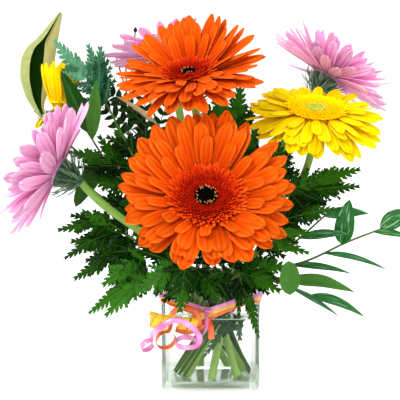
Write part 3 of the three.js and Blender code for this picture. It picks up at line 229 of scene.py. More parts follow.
def unit(v):
    v = np.asarray(v, float)
    return v / np.maximum(np.linalg.norm(v, axis=-1, keepdims=True), 1e-9)


def shaken(direction, share, rng):
    return unit(direction + share * rng.normal(size=3))


def smooth(low, high, x):
    t = np.clip((np.asarray(x, float) - low) / (high - low), 0, 1)
    return t * t * (3 - 2 * t)


def bezier(*knots):
    knots = [np.asarray(k, float) for k in knots]
    order = len(knots) - 1

    def point(t):
        return sum(math.comb(order, i) * (1 - t) ** (order - i) * t ** i * k
                   for i, k in enumerate(knots))
    return point


def catmull(knots):
    """A centripetal curve through the knots, t from 0 to 1, an equal share for each stretch."""
    knots = [np.asarray(k, float) for k in knots]
    knots = [2 * knots[0] - knots[1], *knots, 2 * knots[-1] - knots[-2]]
    last = len(knots) - 3

    def point(t):
        at = min(max(t, 0.0), 1.0) * last
        i = min(int(at), last - 1)
        p = knots[i:i + 4]
        step = [max(np.linalg.norm(p[j + 1] - p[j]) ** 0.5, 1e-4) for j in range(3)]
        ta, tb = [(p[j] - p[j - 1]) / step[j - 1] - (p[j + 1] - p[j - 1]) / (step[j - 1] + step[j])
                  + (p[j + 1] - p[j]) / step[j] for j in (1, 2)]
        ta, tb = ta * step[1], tb * step[1]
        u = at - i
        return (2 * u ** 3 - 3 * u ** 2 + 1) * p[1] + (u ** 3 - 2 * u ** 2 + u) * ta \
            + (3 * u ** 2 - 2 * u ** 3) * p[2] + (u ** 3 - u ** 2) * tb
    return point


def samples(route, count):
    return np.array([route(t) for t in np.linspace(0, 1, count)])


def blade_frame(route, face, t):
    """The point of a route with the directions along it, sideways and towards the face."""
    along = unit(route(min(t + 1e-3, 1.0)) - route(max(t - 1e-3, 0.0)))
    side = unit(np.cross(along, face))
    return route(t), along, side, np.cross(side, along)


# Meshes

class Piece:
    """Vertices, faces and the values that the materials read, of one visible piece."""

    def __init__(self):
        self.points, self.values, self.quads, self.tris = [], [], [], []
        self.quad_slots, self.tri_slots = [], []
        self.count = 0

    def add(self, points, quads=(), tris=(), *, along, tint, across=0.0, side=0.0, slot=0):
        n = len(points)
        self.points.append(np.asarray(points, float))
        self.values.append(np.column_stack([np.broadcast_to(np.asarray(v, float).ravel(), n)
                                            for v in (along, across, tint, side)]))
        for faces, kept, slots in ((quads, self.quads, self.quad_slots),
                                   (tris, self.tris, self.tri_slots)):
            if len(faces):
                kept.append(np.asarray(faces) + self.count)
                slots.append(np.full(len(faces), slot))
        self.count += n

    def sheet(self, grid, thick, along, across, tint=0.0, slot=0):
        """A thin closed skin either side of a grid of points, half as thick at its edges."""
        n, m = grid.shape[:2]
        normal = unit(np.cross(np.gradient(grid, axis=0), np.gradient(grid, axis=1)))
        edge = np.ones((n, m))
        edge[:, [0, -1]] = edge[[0, -1], :] = 0.5
        shift = normal * (thick * edge / 2)[..., None]
        index = np.arange(n * m).reshape(n, m)
        top = np.stack([index[:-1, :-1], index[1:, :-1], index[1:, 1:], index[:-1, 1:]], -1)
        top = top.reshape(-1, 4)
        loop = np.concatenate([index[0, :-1], index[:-1, -1], index[-1, :0:-1], index[:0:-1, 0]])
        after = np.roll(loop, -1)
        rim = np.stack([loop, after, after + n * m, loop + n * m], -1)
        points = np.concatenate([(grid + shift).reshape(-1, 3), (grid - shift).reshape(-1, 3)])
        along, across = [np.tile(np.broadcast_to(v, (n, m)).ravel(), 2) for v in (along, across)]
        self.add(points, np.concatenate([top, top[:, ::-1] + n * m, rim]), along=along, across=across,
                 tint=tint, side=np.repeat([1.0, 0.0], n * m), slot=slot)

    def tube(self, points, radii, sides, slot=0):
        """A round rod through the points, closed at both ends."""
        points = np.asarray(points, float)
        radii = np.broadcast_to(radii, len(points))
        turn = (2 * np.pi * np.arange(sides) / sides)[:, None]
        side = np.array([1.0, 0.3, 0.1])
        rings = []
        for point, radius, heading in zip(points, radii, unit(np.gradient(points, axis=0))):
            side = unit(side - heading * side.dot(heading))
            rings.append(point + radius * (np.cos(turn) * side + np.sin(turn) * np.cross(heading, side)))
        self.loft(rings, slot=slot)

    def loft(self, rings, tint=0.0, slot=0):
        """A closed skin over rings of points, capped by a fan at both ends."""
        rings = np.asarray(rings, float)
        n, sides = rings.shape[:2]
        index = np.arange(n * sides).reshape(n, sides)
        turn = np.roll(index, -1, axis=1)
        quads = np.stack([index[:-1], turn[:-1], turn[1:], index[1:]], -1).reshape(-1, 4)
        first, last = n * sides, n * sides + 1
        tris = [(first, turn[0, j], index[0, j]) for j in range(sides)]
        tris += [(last, index[-1, j], turn[-1, j]) for j in range(sides)]
        along = np.concatenate([np.repeat(np.linspace(0, 1, n), sides), [0, 1]])
        across = np.concatenate([np.tile(np.linspace(0, 1, sides), n), [0.5, 0.5]])
        points = np.concatenate([rings.reshape(-1, 3), [rings[0].mean(0), rings[-1].mean(0)]])
        self.add(points, quads, tris, along=along, across=across, tint=tint, slot=slot)

    def turned(self, profile, sides, place, tint=0.0, slot=0):
        """A body turned about the local axis from its profile of radius and height."""
        turn = 2 * np.pi * np.arange(sides) / sides
        rings = [place(np.stack([r * np.cos(turn), r * np.sin(turn), np.full(sides, h)], -1))
                 for r, h in profile]
        self.loft(rings, tint=tint, slot=slot)

    def finish(self, name, materials, nodes, sharp=40, body="root"):
        mesh = bpy.data.meshes.new(name)
        points = np.concatenate(self.points) * MM
        faces = [face for group in self.quads + self.tris for face in group.tolist()]
        mesh.from_pydata(points.tolist(), [], faces)
        values = np.concatenate(self.values).astype(np.float32)
        for i, label in enumerate(("along", "across", "tint", "side")):
            mesh.attributes.new(label, "FLOAT", "POINT").data.foreach_set("value", values[:, i].copy())
        for material in materials:
            mesh.materials.append(material)
        slots = np.concatenate(self.quad_slots + self.tri_slots).astype(np.int32)
        mesh.polygons.foreach_set("material_index", slots)
        mesh.polygons.foreach_set("use_smooth", np.ones(len(faces), bool))
        mesh.set_sharp_from_angle(angle=math.radians(sharp))
        mesh.update()
        piece = bpy.data.objects.new(name, mesh)
        bpy.context.scene.collection.objects.link(piece)
        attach(piece, body)
        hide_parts(*nodes)
        return piece


# Materials

def rgb(text):
    """A colour written as it looks, turned into the renderer's linear values."""
    parts = [int(text[i:i + 2], 16) / 255 for i in (0, 2, 4)]
    return [p / 12.92 if p <= 0.04045 else ((p + 0.055) / 1.055) ** 2.4 for p in parts] + [1.0]


class Look:
    """A node material with short ways to add and link nodes."""

    def __init__(self, name):
        self.material = bpy.data.materials.new(name)
        self.material.use_nodes = True
        self.tree = self.material.node_tree
        self.shader = self.tree.nodes["Principled BSDF"]
        self.output = self.tree.nodes["Material Output"]

    def node(self, kind, values=(), **settings):
        node = self.tree.nodes.new("ShaderNode" + kind)
        for key, value in settings.items():
            setattr(node, key, value)
        for key, value in dict(values).items():
            self.put(node.inputs[key], value)
        return node

    def put(self, socket, value):
        """Links another node's output, or sets a constant: a number, a colour or its hex text."""
        if isinstance(value, bpy.types.NodeSocket):
            self.tree.links.new(value, socket)
        else:
            socket.default_value = rgb(value) if isinstance(value, str) else value

    def set(self, **values):
        for key, value in values.items():
            self.put(self.shader.inputs[key.replace("_", " ")], value)

    def value(self, name):
        return self.node("Attribute", attribute_name=name).outputs["Fac"]

    def calc(self, operation, a, b=0.0, c=0.0):
        return self.node("Math", {0: a, 1: b, 2: c}, operation=operation).outputs[0]

    def times(self, a, b):
        return self.calc("MULTIPLY", a, b)

    def size(self, a):
        return self.calc("ABSOLUTE", a)

    def vector(self, x, y=0.0, z=0.0):
        return self.node("CombineXYZ", {0: x, 1: y, 2: z}).outputs[0]

    def scaled(self, *pairs):
        """A place in a texture from up to three values, each with its own scale."""
        return self.vector(*(self.times(*pair) for pair in pairs))

    def noise(self, scale, detail=3.0, vector=None, rough=0.5):
        values = {"Scale": scale, "Detail": detail, "Roughness": rough}
        if vector is not None:
            values["Vector"] = vector
        return self.node("TexNoise", values).outputs["Fac"]

    def ramp(self, factor, stops):
        node = self.node("ValToRGB", {0: factor})
        elements = node.color_ramp.elements
        for i, (at, colour) in enumerate(stops):
            element = elements[i] if i < 2 else elements.new(at)
            element.position = at
            element.color = rgb(colour)
        return node.outputs["Color"]

    def rise(self, factor, low, high):
        return self.ramp(factor, [(low, "000000"), (high, "ffffff")])

    def fall(self, factor, high):
        return self.ramp(factor, [(0.0, "ffffff"), (high, "000000")])

    def mix(self, factor, a, b, blend="MIX"):
        node = self.node("Mix", data_type="RGBA", blend_type=blend)
        for socket, value in ((node.inputs[0], factor), (node.inputs[6], a), (node.inputs[7], b)):
            self.put(socket, value)
        return node.outputs[2]

    def fade(self, factor, share):
        return self.mix(1.0, factor, (share, share, share, 1), "MULTIPLY")

    def bump(self, height, strength, distance):
        node = self.node("Bump", {"Height": height, "Strength": strength, "Distance": distance})
        self.put(self.shader.inputs["Normal"], node.outputs[0])

    def blend(self, share, other):
        """Puts a share of another shader into the surface."""
        both = self.node("MixShader", {0: share, 1: self.shader.outputs[0], 2: other.outputs[0]})
        self.put(self.output.inputs["Surface"], both.outputs[0])

    def thin(self, colour, share):
        """Lets some light through a thin petal, leaf or ribbon."""
        self.blend(share, self.node("BsdfTranslucent", {"Color": colour}))


def petal_look(name, stops, shade, edge, spots=None):
    """Fine streaks along the petal, two shaded grooves, a lighter margin and, if asked, spotted tips."""
    look = Look(name)
    along, across, tint = look.value("along"), look.value("across"), look.value("tint")
    off_middle = look.size(across)
    lines = look.scaled((across, 11.0), (along, 0.9), (tint, 23.0))
    streak = look.noise(1.6, 4.0, lines, 0.62)
    depth = look.calc("MULTIPLY_ADD", streak, 1.7, -0.45)
    colour = look.mix(look.times(depth, 0.5), look.ramp(along, stops), shade)
    # Painted shade: darker lines beside the two grooves
    off_groove = look.size(look.calc("SUBTRACT", off_middle, 0.38))
    colour = look.mix(look.fade(look.fall(off_groove, 0.11), 0.45), colour, shade)
    rim = look.calc("POWER", off_middle, 5.0)
    colour = look.mix(look.times(rim, 0.35), colour, edge)
    lift = look.calc("MULTIPLY_ADD", tint, 0.10, 0.98)
    colour = look.mix(1.0, colour, look.vector(lift, lift, lift), "MULTIPLY")
    if spots:
        blotch = look.rise(look.noise(0.9, 2.0, lines), 0.62, 0.72)
        spotted = look.mix(1.0, blotch, look.rise(along, 0.8, 1.0), "MULTIPLY")
        colour = look.mix(spotted, colour, spots)
    look.set(Base_Color=colour, Roughness=0.6, Specular_IOR_Level=0.03)
    look.bump(streak, 0.5, 0.0006)
    look.thin(colour, 0.3)
    return look.material


def leaf_look(name, light, dark, vein, gloss, back=None, ribs=9.0, vein_share=0.5, margin=None):
    """A mottled leaf with a midrib and slanting side veins, and painted highlight streaks if it is
    glossy.
    """
    look = Look(name)
    along, across, tint = look.value("along"), look.value("across"), look.value("tint")
    off_middle = look.size(across)
    glossy = gloss < 0.3
    patch = look.noise(28.0)
    mottle = look.calc("MULTIPLY_ADD", tint, 0.32, look.calc("MULTIPLY_ADD", patch, 0.7, 0.08))
    colour = look.mix(mottle, dark, light)
    slant = look.calc("ADD", look.times(along, ribs), look.times(off_middle, -1.6))
    wave = look.size(look.calc("SINE", look.times(slant, math.pi)))
    fine = look.calc("SUBTRACT", 1.0, look.calc("SMOOTH_MIN", wave, 0.22, 0.08))
    side_veins = look.mix(0.45, "000000", look.rise(fine, 0.8, 0.98))
    veins = look.mix(1.0, look.fall(off_middle, 0.12), side_veins, "LIGHTEN")
    colour = look.mix(look.fade(veins, vein_share), colour, vein)
    if margin:
        colour = look.mix(look.fade(look.rise(across, 0.35, 0.6), 0.8), colour, margin)
    if back:
        under = look.mix(mottle, back, look.mix(0.6, back, "ffffff", "SOFT_LIGHT"))
        colour = look.mix(look.value("side"), under, colour)
    if glossy:
        lines = look.scaled((across, 5.0), (along, 2.2), (tint, 9.0))
        # Painted highlight: pale streaks of shine put into the colour of a glossy leaf
        painted_shine = look.rise(look.noise(1.3, 3.0, lines), 0.54, 0.7)
        colour = look.mix(look.fade(painted_shine, 0.55), colour, "b4d8b8")
    look.set(Base_Color=colour, Roughness=gloss, Specular_IOR_Level=0.16 if glossy else 0.06)
    look.bump(look.calc("MULTIPLY_ADD", wave, 0.6, patch), 0.4, 0.0006)
    look.thin(colour, 0.12)
    return look.material


def fern_look(name, dark, middle, light):
    """Mottled green, lighter along the rib of each leaflet."""
    look = Look(name)
    tint, across = look.value("tint"), look.value("across")
    # The tint carries each frond's random tone and the painted shade given to inner pinnae, companions
    # and shaded fronds
    blend = look.calc("ADD", look.times(tint, 0.5), look.times(look.noise(45.0), 0.6))
    colour = look.ramp(look.calc("ADD", blend, 0.12), [(0.1, dark), (0.55, middle), (1.0, light)])
    colour = look.mix(look.fade(look.fall(across, 0.22), 0.35), colour, light)
    look.set(Base_Color=colour, Roughness=0.4, Specular_IOR_Level=0.06)
    look.bump(look.noise(160.0, 2.0), 0.25, 0.0004)
    look.thin(colour, 0.16)
    return look.material


def stem_look(name, light, dark, rim=None, foot=None):
    """Streaked along the stem. A foot colour shows under water, a rim colour on a scale's margins."""
    look = Look(name)
    along, across = look.value("along"), look.value("across")
    streak = look.noise(1.5, 3.0, look.scaled((across, 18.0), (along, 3.0)))
    mottle = look.calc("MULTIPLY_ADD", streak, 0.9, look.times(look.noise(30.0, 2.0), 0.35))
    colour = look.mix(mottle, dark, light)
    if foot:
        colour = look.mix(look.ramp(along, [(0.22, "b0b0b0"), (0.45, "000000")]), colour, foot)
    if rim:
        edge = look.rise(look.size(across), 0.1, 0.8)
        pale = look.ramp(look.value("tint"), [(0.0, "404040"), (0.5, "a0a0a0"), (1.0, "e0e0e0")])
        ridges = look.noise(1.0, 2.0, look.scaled((across, 64.0), (along, 1.5)))
        ridges = look.ramp(ridges, [(0.5, "000000"), (0.62, "a0a0a0")])
        pale = look.mix(1.0, look.mix(1.0, edge, pale, "MULTIPLY"), ridges, "LIGHTEN")
        colour = look.mix(pale, colour, rim)
    look.set(Base_Color=colour, Roughness=0.42, Specular_IOR_Level=0.1)
    look.bump(streak, 0.4, 0.0006)
    return look.material


def dot_look(name, stops, rough=0.6, shadow=(0.35, 0.2, 0.2, 1), grain=0.25):
    """Florets and eyes: the tint picks the colour from the middle outwards, darker at the roots."""
    look = Look(name)
    tint, along = look.value("tint"), look.value("along")
    speck = look.noise(400.0, 2.0)
    colour = look.ramp(tint, stops)
    root = look.times(look.calc("SUBTRACT", 1.0, along), 0.7)
    colour = look.mix(root, colour, look.mix(1.0, colour, shadow, "MULTIPLY"))
    colour = look.mix(look.times(speck, grain), colour, (1, 0.8, 0.5, 1), "SOFT_LIGHT")
    look.set(Base_Color=colour, Roughness=rough, Specular_IOR_Level=0.02)
    look.bump(speck, 0.2, 0.0003)
    return look.material


def ribbon_look(name, light, dark):
    """Shiny woven ribbon with fine cross ribs, darker margins and painted highlights along its length.
    """
    look = Look(name)
    along, across = look.value("along"), look.value("across")
    weave = look.noise(1.0, 2.0, look.scaled((across, 9.0), (along, 40.0)))
    crimp = look.calc("SINE", look.times(along, 2200.0))
    edge = look.times(look.calc("POWER", look.size(across), 8.0), -0.5)
    # Painted highlights: lighter and darker patches along the ribbon stand in for its satin sheen, on
    # top of the weave's own variation
    swell = look.noise(1.0, 1.0, look.scaled((along, 90.0)))
    weave_and_sheen = look.calc("MULTIPLY_ADD", swell, 1.9, look.calc("MULTIPLY_ADD", weave, 0.8, -0.95))
    colour = look.mix(look.calc("ADD", edge, weave_and_sheen), dark, light)
    look.set(Base_Color=colour, Roughness=0.24, Coat_Weight=0.4, Coat_Roughness=0.12)
    look.bump(look.calc("MULTIPLY_ADD", crimp, 0.25, weave), 0.2, 0.0003)
    look.thin(colour, 0.12)
    return look.material


def clear_look(name, colour, deep_and_shade, index):
    """Glass or water, deeper in tint where the mask marks thick corners, the base and the rim: partly
    the glass's own green where it is thick, partly painted shade on its edges. Shadow and diffuse rays
    pass straight through, so what stands inside is lit, and a weak specular tint keeps the white
    surroundings from veiling it."""
    look = Look(name)
    mask = look.value("tint")
    # Painted shade: the mask deepens the tint on the glass's corners, base and rim, besides the glass's
    # own green where it is thick
    tint = look.mix(mask, colour, deep_and_shade)
    look.set(Base_Color=tint, Roughness=0.0, Transmission_Weight=1.0, IOR=index,
             Specular_Tint=(0.22, 0.22, 0.22, 1))
    path = look.node("LightPath")
    easy = look.calc("MAXIMUM", path.outputs["Is Shadow Ray"], path.outputs["Is Diffuse Ray"])
    easy = look.calc("MAXIMUM", easy, look.times(mask, 0.6))
    look.blend(easy, look.node("BsdfTransparent", {"Color": tint}))
    return look.material


LOOKS = {
    "orange_petal": petal_look(
        "orange petal", [(0.0, "a42400"), (0.3, "e24400"), (0.7, "f25c04"), (1.0, "fe7c18")],
        "bc3200", "ff8c2c"),
    "yellow_petal": petal_look(
        "yellow petal", [(0.0, "f8b800"), (0.3, "ffdc00"), (0.7, "ffea00"), (1.0, "fff000")],
        "ffcc00", "fff040"),
    "pink_petal": petal_look(
        "pink petal", [(0.0, "ec90c8"), (0.3, "ffb8e4"), (0.7, "ffd0f0"), (1.0, "ffdcf4")],
        "f094cc", "fff4fc", spots="b88060"),
    "orange_disc": dot_look(
        "orange florets", [(0.0, "7c0c04"), (0.35, "b01c06"), (0.7, "d83408"), (1.0, "f45a12")]),
    "yellow_disc": dot_look(
        "yellow florets", [(0.0, "d8d430"), (0.35, "fccc00"), (0.7, "ffdc00"), (1.0, "ffe600")],
        shadow=(0.95, 0.78, 0.2, 1)),
    "pink_disc": dot_look("pink florets", [(0.0, "c4b050"), (0.4, "e098b0"), (1.0, "f4b0dc")]),
    "dark_eye": dot_look(
        "dark eye", [(0.0, "030202"), (0.7, "0a0604"), (0.85, "301808"), (1.0, "e0a860")],
        rough=0.7, grain=0.02),
    "pale_eye": dot_look(
        "pale eye", [(0.0, "b4c040"), (0.6, "ccd060"), (1.0, "e8e890")], shadow=(0.7, 0.7, 0.3, 1)),
    "flower_stem": stem_look("flower stem", "82aa4e", "3e6020", foot="a8cc70"),
    "cup": stem_look("flower cup", "245430", "031208", rim="b4ccac"),
    "thin_stem": stem_look("thin stem", "4a6e28", "223e0c"),
    "bud": stem_look("bud stalk", "4a5a2c", "222c14"),
    "fern": fern_look("fern", "021000", "0c3403", "347612"),
    "blue_fern": fern_look("bluish fern", "08301c", "2a6442", "74b48c"),
    "wet_fern": fern_look("fern in the water", "0e2c18", "264e30", "4c7c54"),
    "broad_leaf": leaf_look("broad leaf", "245c12", "0a300a", "4c7c30", 0.34, back="3c6c28"),
    "pale_leaf": leaf_look("pale leaf", "b8bc78", "7c8c4c", "d0d4a4", 0.5, back="1c4c06", ribs=13.0,
                           vein_share=0.6, margin="b4ac6c"),
    "dry_leaf": leaf_look("dry leaf", "d4c094", "b0986a", "e4d4b0", 0.6, back="c0a878"),
    "ruscus": leaf_look("ruscus leaf", "22742c", "063a0c", "4c9c4c", 0.16, ribs=1.0, vein_share=0.3),
    "dark_sprig": leaf_look("dark sprig", "1c3c14", "081a04", "3c6a2c", 0.36),
    "orange_ribbon": ribbon_look("orange ribbon", "ff9448", "ea4c00"),
    "yellow_ribbon": ribbon_look("yellow ribbon", "ffe84c", "dca400"),
    "pink_ribbon": ribbon_look("pink ribbon", "fcc4e8", "d858ac"),
    "glass": clear_look("clear glass", (0.975, 0.99, 0.975, 1), (0.76, 0.83, 0.77, 1), 1.5),
    "water": clear_look("water", (0.985, 0.995, 0.98, 1), (0.9, 0.94, 0.9, 1), 1.33),
}


# Stems

def bundle_point(family, slot, height):
    """Where the straight stretch of a stem through the waist is at a height."""
    lean = family["slope"] * (height - BUNDLE["waist"])
    angle = math.radians(slot)
    x, y = BUNDLE["centre"]
    return np.array([x + family["ring"] * math.cos(angle) - lean * math.sin(angle),
                     y + family["ring"] * math.sin(angle) + lean * math.cos(angle), height])


def free_stem(family, slot, end, arrival, middle=()):
    """The curve from where a stem leaves the bundle to its end."""
    out = bundle_point(family, slot, BUNDLE["exit"])
    lean = unit(out - bundle_point(family, slot, BUNDLE["waist"]))
    end = np.asarray(end, float)
    if len(middle):
        return catmull([out, out + 2 * lean, *middle, end])
    span = np.linalg.norm(end - out) * 0.36
    return bezier(out, out + lean * span, end - np.asarray(arrival) * span, end)


def stem_points(family, slot, foot, curve):
    heights = np.linspace(foot, BUNDLE["exit"], 8)[:-1]
    return np.concatenate([[bundle_point(family, slot, h) for h in heights], samples(curve, 28)])


def thin_stem(piece, item, thick, thin):
    """The cut stem of one of the greens. Returns the curve of its free part."""
    outward = unit(np.array(item["end"], float) - bundle_point(THIN, item["slot"], BUNDLE["exit"]))
    curve = free_stem(THIN, item["slot"], item["end"], outward, item.get("path", ()))
    points = stem_points(THIN, item["slot"], item.get("foot", THIN_FOOT), curve)
    piece.tube(points, np.linspace(thick, thin, len(points)), 8, slot=1)
    return curve


# Blooms, in a frame with the petals' ring round the origin and the axis along +Z

PETAL_ROWS = np.array([0, 0.14, 0.3, 0.46, 0.62, 0.76, 0.86, 0.93, 0.975, 1.0])
PETAL_COLUMNS = np.array([-1, -0.72, -0.38, 0, 0.38, 0.72, 1.0])
PETAL_STEPS = 40
PETAL_THICK = 0.55
CUP_DEPTH = 23
CUP_PROFILE = [(3.1, -24), (3.6, -22), (6.2, -19), (9.4, -13), (11.6, -7), (12.4, -3.6), (4, -3.2)]
# Rows of scales on the cup: their number, and radius and height of root, middle and tip
CUP_SCALES = [(14, (5.6, -20.5), (11.2, -20.5), (18.0, -14.5)),
              (18, (8.2, -16.0), (15.2, -15.0), (21.0, -9.0)),
              (21, (10.4, -11.5), (17.0, -10.0), (21.6, -4.2))]
# The dish of the disc: level at shares of the way from the eye outwards
DISC_SHARES = np.array([0, 0.3, 0.62, 0.9, 1.0])
DISC_LEVELS = np.array([3.6, 4.4, 5.6, 4.8, 3.2])
DISC_FLOOR = 3.2
FLORET_AREA = 4.2
# Straps of the fringe: shortest length, how much longer outside, half width
FRINGES = {"orange": (3.0, 4.5, 1.25), "yellow": (2.2, 3.2, 1.0), "pink": (2.0, 2.6, 0.9)}


def bloom_place(bloom):
    axis = unit(bloom["facing"])
    upper = unit(UP - axis * UP.dot(axis))
    basis = np.stack([np.cross(upper, axis), upper, axis])
    centre = np.array(bloom["centre"], float)
    return lambda points: np.asarray(points) @ basis + centre


def round_bloom(values, angle):
    """A value round the bloom from its values at the upper, side and lower edge."""
    upper, side, lower = values
    height = math.sin(angle)
    return side + (upper - side) * height if height > 0 else side + (side - lower) * height


def petal(piece, place, angle, start, height, length, rise, curl, width, roll, rng):
    """A strap-shaped petal with two shallow grooves, a narrow root and a blunt, slightly toothed tip."""
    s, v = PETAL_ROWS[:, None], PETAL_COLUMNS[None, :]
    blunt = np.sqrt(np.clip(1 - (np.clip(s - 0.76, 0, 1) / 0.2425) ** 2, 0, 1))
    half = width / 2 * ((0.36 + 0.64 * smooth(0.0, 0.5, s)) * blunt)
    steps = np.linspace(0, 1, PETAL_STEPS + 1)
    tilt = rise + curl * 0.25 - curl * 1.3 * steps ** 1.4 + math.radians(4) * rng.normal() * steps ** 2
    run, lift = [np.concatenate([[0], np.cumsum(part[1:])]) / PETAL_STEPS
                 for part in (np.cos(tilt), np.sin(tilt))]
    out = start + length * np.interp(s, steps, run)
    up = height + length * np.interp(s, steps, lift)
    lean = np.interp(s, steps, tilt)
    bow = math.radians(3.5) * rng.normal()
    twist = roll * s + 0.25 * roll
    arch = -0.16 * half * v ** 2 * (1 - 0.7 * s)
    groove = 0.05 * width * np.cos(2.6 * math.pi * v) * smooth(0, 0.3, s)
    tooth = length * 0.018 * np.cos(3 * math.pi * v) * smooth(0.9, 1.0, s)
    sideways = half * v * np.cos(twist) + bow * length * s ** 2
    raised = half * v * np.sin(twist) + (arch + groove)
    radial = out + tooth * np.cos(lean) - raised * np.sin(lean)
    up = up + tooth * np.sin(lean) + raised * np.cos(lean)
    x = radial * math.cos(angle) - sideways * math.sin(angle)
    y = radial * math.sin(angle) + sideways * math.cos(angle)
    grid = place(np.stack([x, y, up], -1))
    piece.sheet(grid[:, ::-1], PETAL_THICK, s, v[:, ::-1], tint=rng.uniform(-1, 1))


def petals(bloom, place, seed):
    """Whorls of petals that spring from a hub round the disc."""
    rng = np.random.default_rng(seed)
    piece = Piece()
    start = bloom["disc"] - 5
    wild, wide = bloom.get("wild", 1.0), bloom.get("wide", 1.0)
    for layer, (count, share, lift, width) in enumerate(bloom["layers"]):
        height = 1.4 * layer - 1.6
        for i in range(count):
            angle = 2 * math.pi * (i + 0.5 * (layer % 2)) / count + math.radians(2.2) * rng.normal()
            stretch = round_bloom(bloom.get("stretch", (1, 1, 1)), angle)
            length = (bloom["reach"] * share - start) * stretch * (1 + 0.035 * wild * rng.normal())
            lifted = lift + bloom.get("left", 0) * max(-math.cos(angle), 0)
            rise = math.radians(round_bloom(bloom["cup"], angle) + lifted + 2.5 * wild * rng.normal())
            curl = math.radians(round_bloom(bloom["curl"], angle) * (1 + 0.4 * rng.normal()))
            broad = width * wide * (1 + 0.06 * wild * rng.normal())
            roll = math.radians(7) * wild * rng.normal()
            petal(piece, place, angle, start, height, length, rise, curl, broad, roll, rng)
    for turn in bloom.get("fallen", ()):
        petal(piece, place, math.radians(turn), start + 1, -1.5, bloom["reach"] * 0.5,
              math.radians(-42), math.radians(28), 9, 0.3, rng)
    piece.turned([(3, -3.2), (start + 1, -3.0), (start + 2, -1.2), (start, 2.6), (3, 3)], 28, place)
    look = bloom["kind"] + "_petal"
    piece.finish(bloom["name"] + "_petals_fine", [LOOKS[look]], ["petals_" + bloom["name"]])


def spiral(count, inner, outer):
    """Points spread evenly over a ring in a sunflower spiral: radius, turn and share of the way out."""
    i = np.arange(count)
    radius = np.sqrt(inner ** 2 + (outer ** 2 - inner ** 2) * (i + 0.5) / count)
    return zip(radius, i * math.pi * (3 - math.sqrt(5)), (radius - inner) / (outer - inner))


def floret(piece, place, foot, heading, height, radius, tint, points=5):
    """A small trumpet with a pointed mouth."""
    n = 2 * points
    side = unit(np.cross(heading, [0.3, 0.2, 1.0] if abs(heading[2]) < 0.9 else [1.0, 0.2, 0.1]))
    other = np.cross(heading, side)
    turn = 2 * np.pi * np.arange(n) / n
    circle = np.cos(turn)[:, None] * side + np.sin(turn)[:, None] * other
    flare = np.where(np.arange(n) % 2 == 0, 1.35, 0.7)[:, None]
    rings = np.concatenate([foot + circle * radius * 0.5,
                            foot + heading * height * 0.6 + circle * radius * 0.7,
                            foot + heading * height + circle * radius * flare,
                            [foot + heading * height * 0.72]])
    quads, tris = [], []
    for j in range(n):
        k = (j + 1) % n
        quads += [(j, k, n + k, n + j), (n + j, n + k, 2 * n + k, 2 * n + j)]
        tris += [(2 * n + j, 2 * n + k, 3 * n)]
    tris += [(0, j + 1, j) for j in range(1, n - 1)]
    along = np.concatenate([np.zeros(n), np.full(n, 0.6), np.ones(n), [0.4]])
    piece.add(place(rings), quads, tris, along=along, tint=tint)


def strap(piece, place, foot, out, length, half, lean, bend, tint):
    """A narrow pointed floret that leans outwards and bends further towards its tip."""
    s = np.linspace(0, 1, 4)
    v = np.array([-1, 0, 1.0])
    tilt = lean + bend * s
    sin, cos = np.sin(tilt)[:, None], np.cos(tilt)[:, None]
    step = sin * out + cos * UP
    step[0] = 0
    line = foot + np.cumsum(step, axis=0) * length / 3
    width = half * np.array([0.7, 1.0, 0.9, 0.3])
    hollow = (cos * out - sin * UP)[:, None]
    grid = line[:, None] + width[:, None, None] * v[None, :, None] * np.cross(UP, out) \
        - (width[:, None] * 0.4 * np.abs(v)[None, :])[..., None] * hollow
    piece.sheet(place(grid), 0.4, s[:, None], v[None, :], tint=tint)


def disc(bloom, place, seed):
    """A shallow dish, tight florets round the eye and a fringe of straps outside them."""
    rng = np.random.default_rng(seed)
    piece = Piece()
    outer, inner = float(bloom["disc"]), float(bloom["eye"])
    shortest, longer, broad = FRINGES[bloom["kind"]]
    dish = [(inner + (outer - inner) * s, h) for s, h in zip(DISC_SHARES[::-1], DISC_LEVELS[::-1])]
    piece.turned([(1.0, DISC_FLOOR), (outer - 0.8, DISC_FLOOR), *dish, (inner - 0.5, DISC_LEVELS[0]),
                  (1.0, DISC_LEVELS[0])], 32, place, tint=0.3)
    count = int((outer ** 2 - inner ** 2) * math.pi / FLORET_AREA)
    for radius, turn, s in spiral(count, inner + 0.4, outer - 0.3):
        out = np.array([math.cos(turn), math.sin(turn), 0])
        foot = out * radius + UP * (np.interp(s, DISC_SHARES, DISC_LEVELS) - 0.6)
        tint = np.clip(s + 0.08 * rng.normal(), 0, 1)
        if s < 0.3:
            lean = math.radians(-16 + 40 * s) + 0.12 * rng.normal()
            heading = shaken(out * math.sin(lean) + UP * math.cos(lean), 0.1, rng)
            floret(piece, place, foot, heading, 2.0 * (1 + 0.15 * rng.normal()), 0.66, tint)
        else:
            turn = turn + 0.16 * rng.normal()
            out = np.array([math.cos(turn), math.sin(turn), 0])
            length = (shortest + longer * s ** 1.5) * (1 + 0.12 * rng.normal())
            lean = math.radians(8 + 38 * s) + 0.1 * rng.normal()
            strap(piece, place, foot, out, length, broad * (0.7 + 0.4 * s), lean, math.radians(22) * s,
                  tint)
    look = bloom["kind"] + "_disc"
    piece.finish(bloom["name"] + "_disc_fine", [LOOKS[look]], ["disc_" + bloom["name"]], sharp=60)


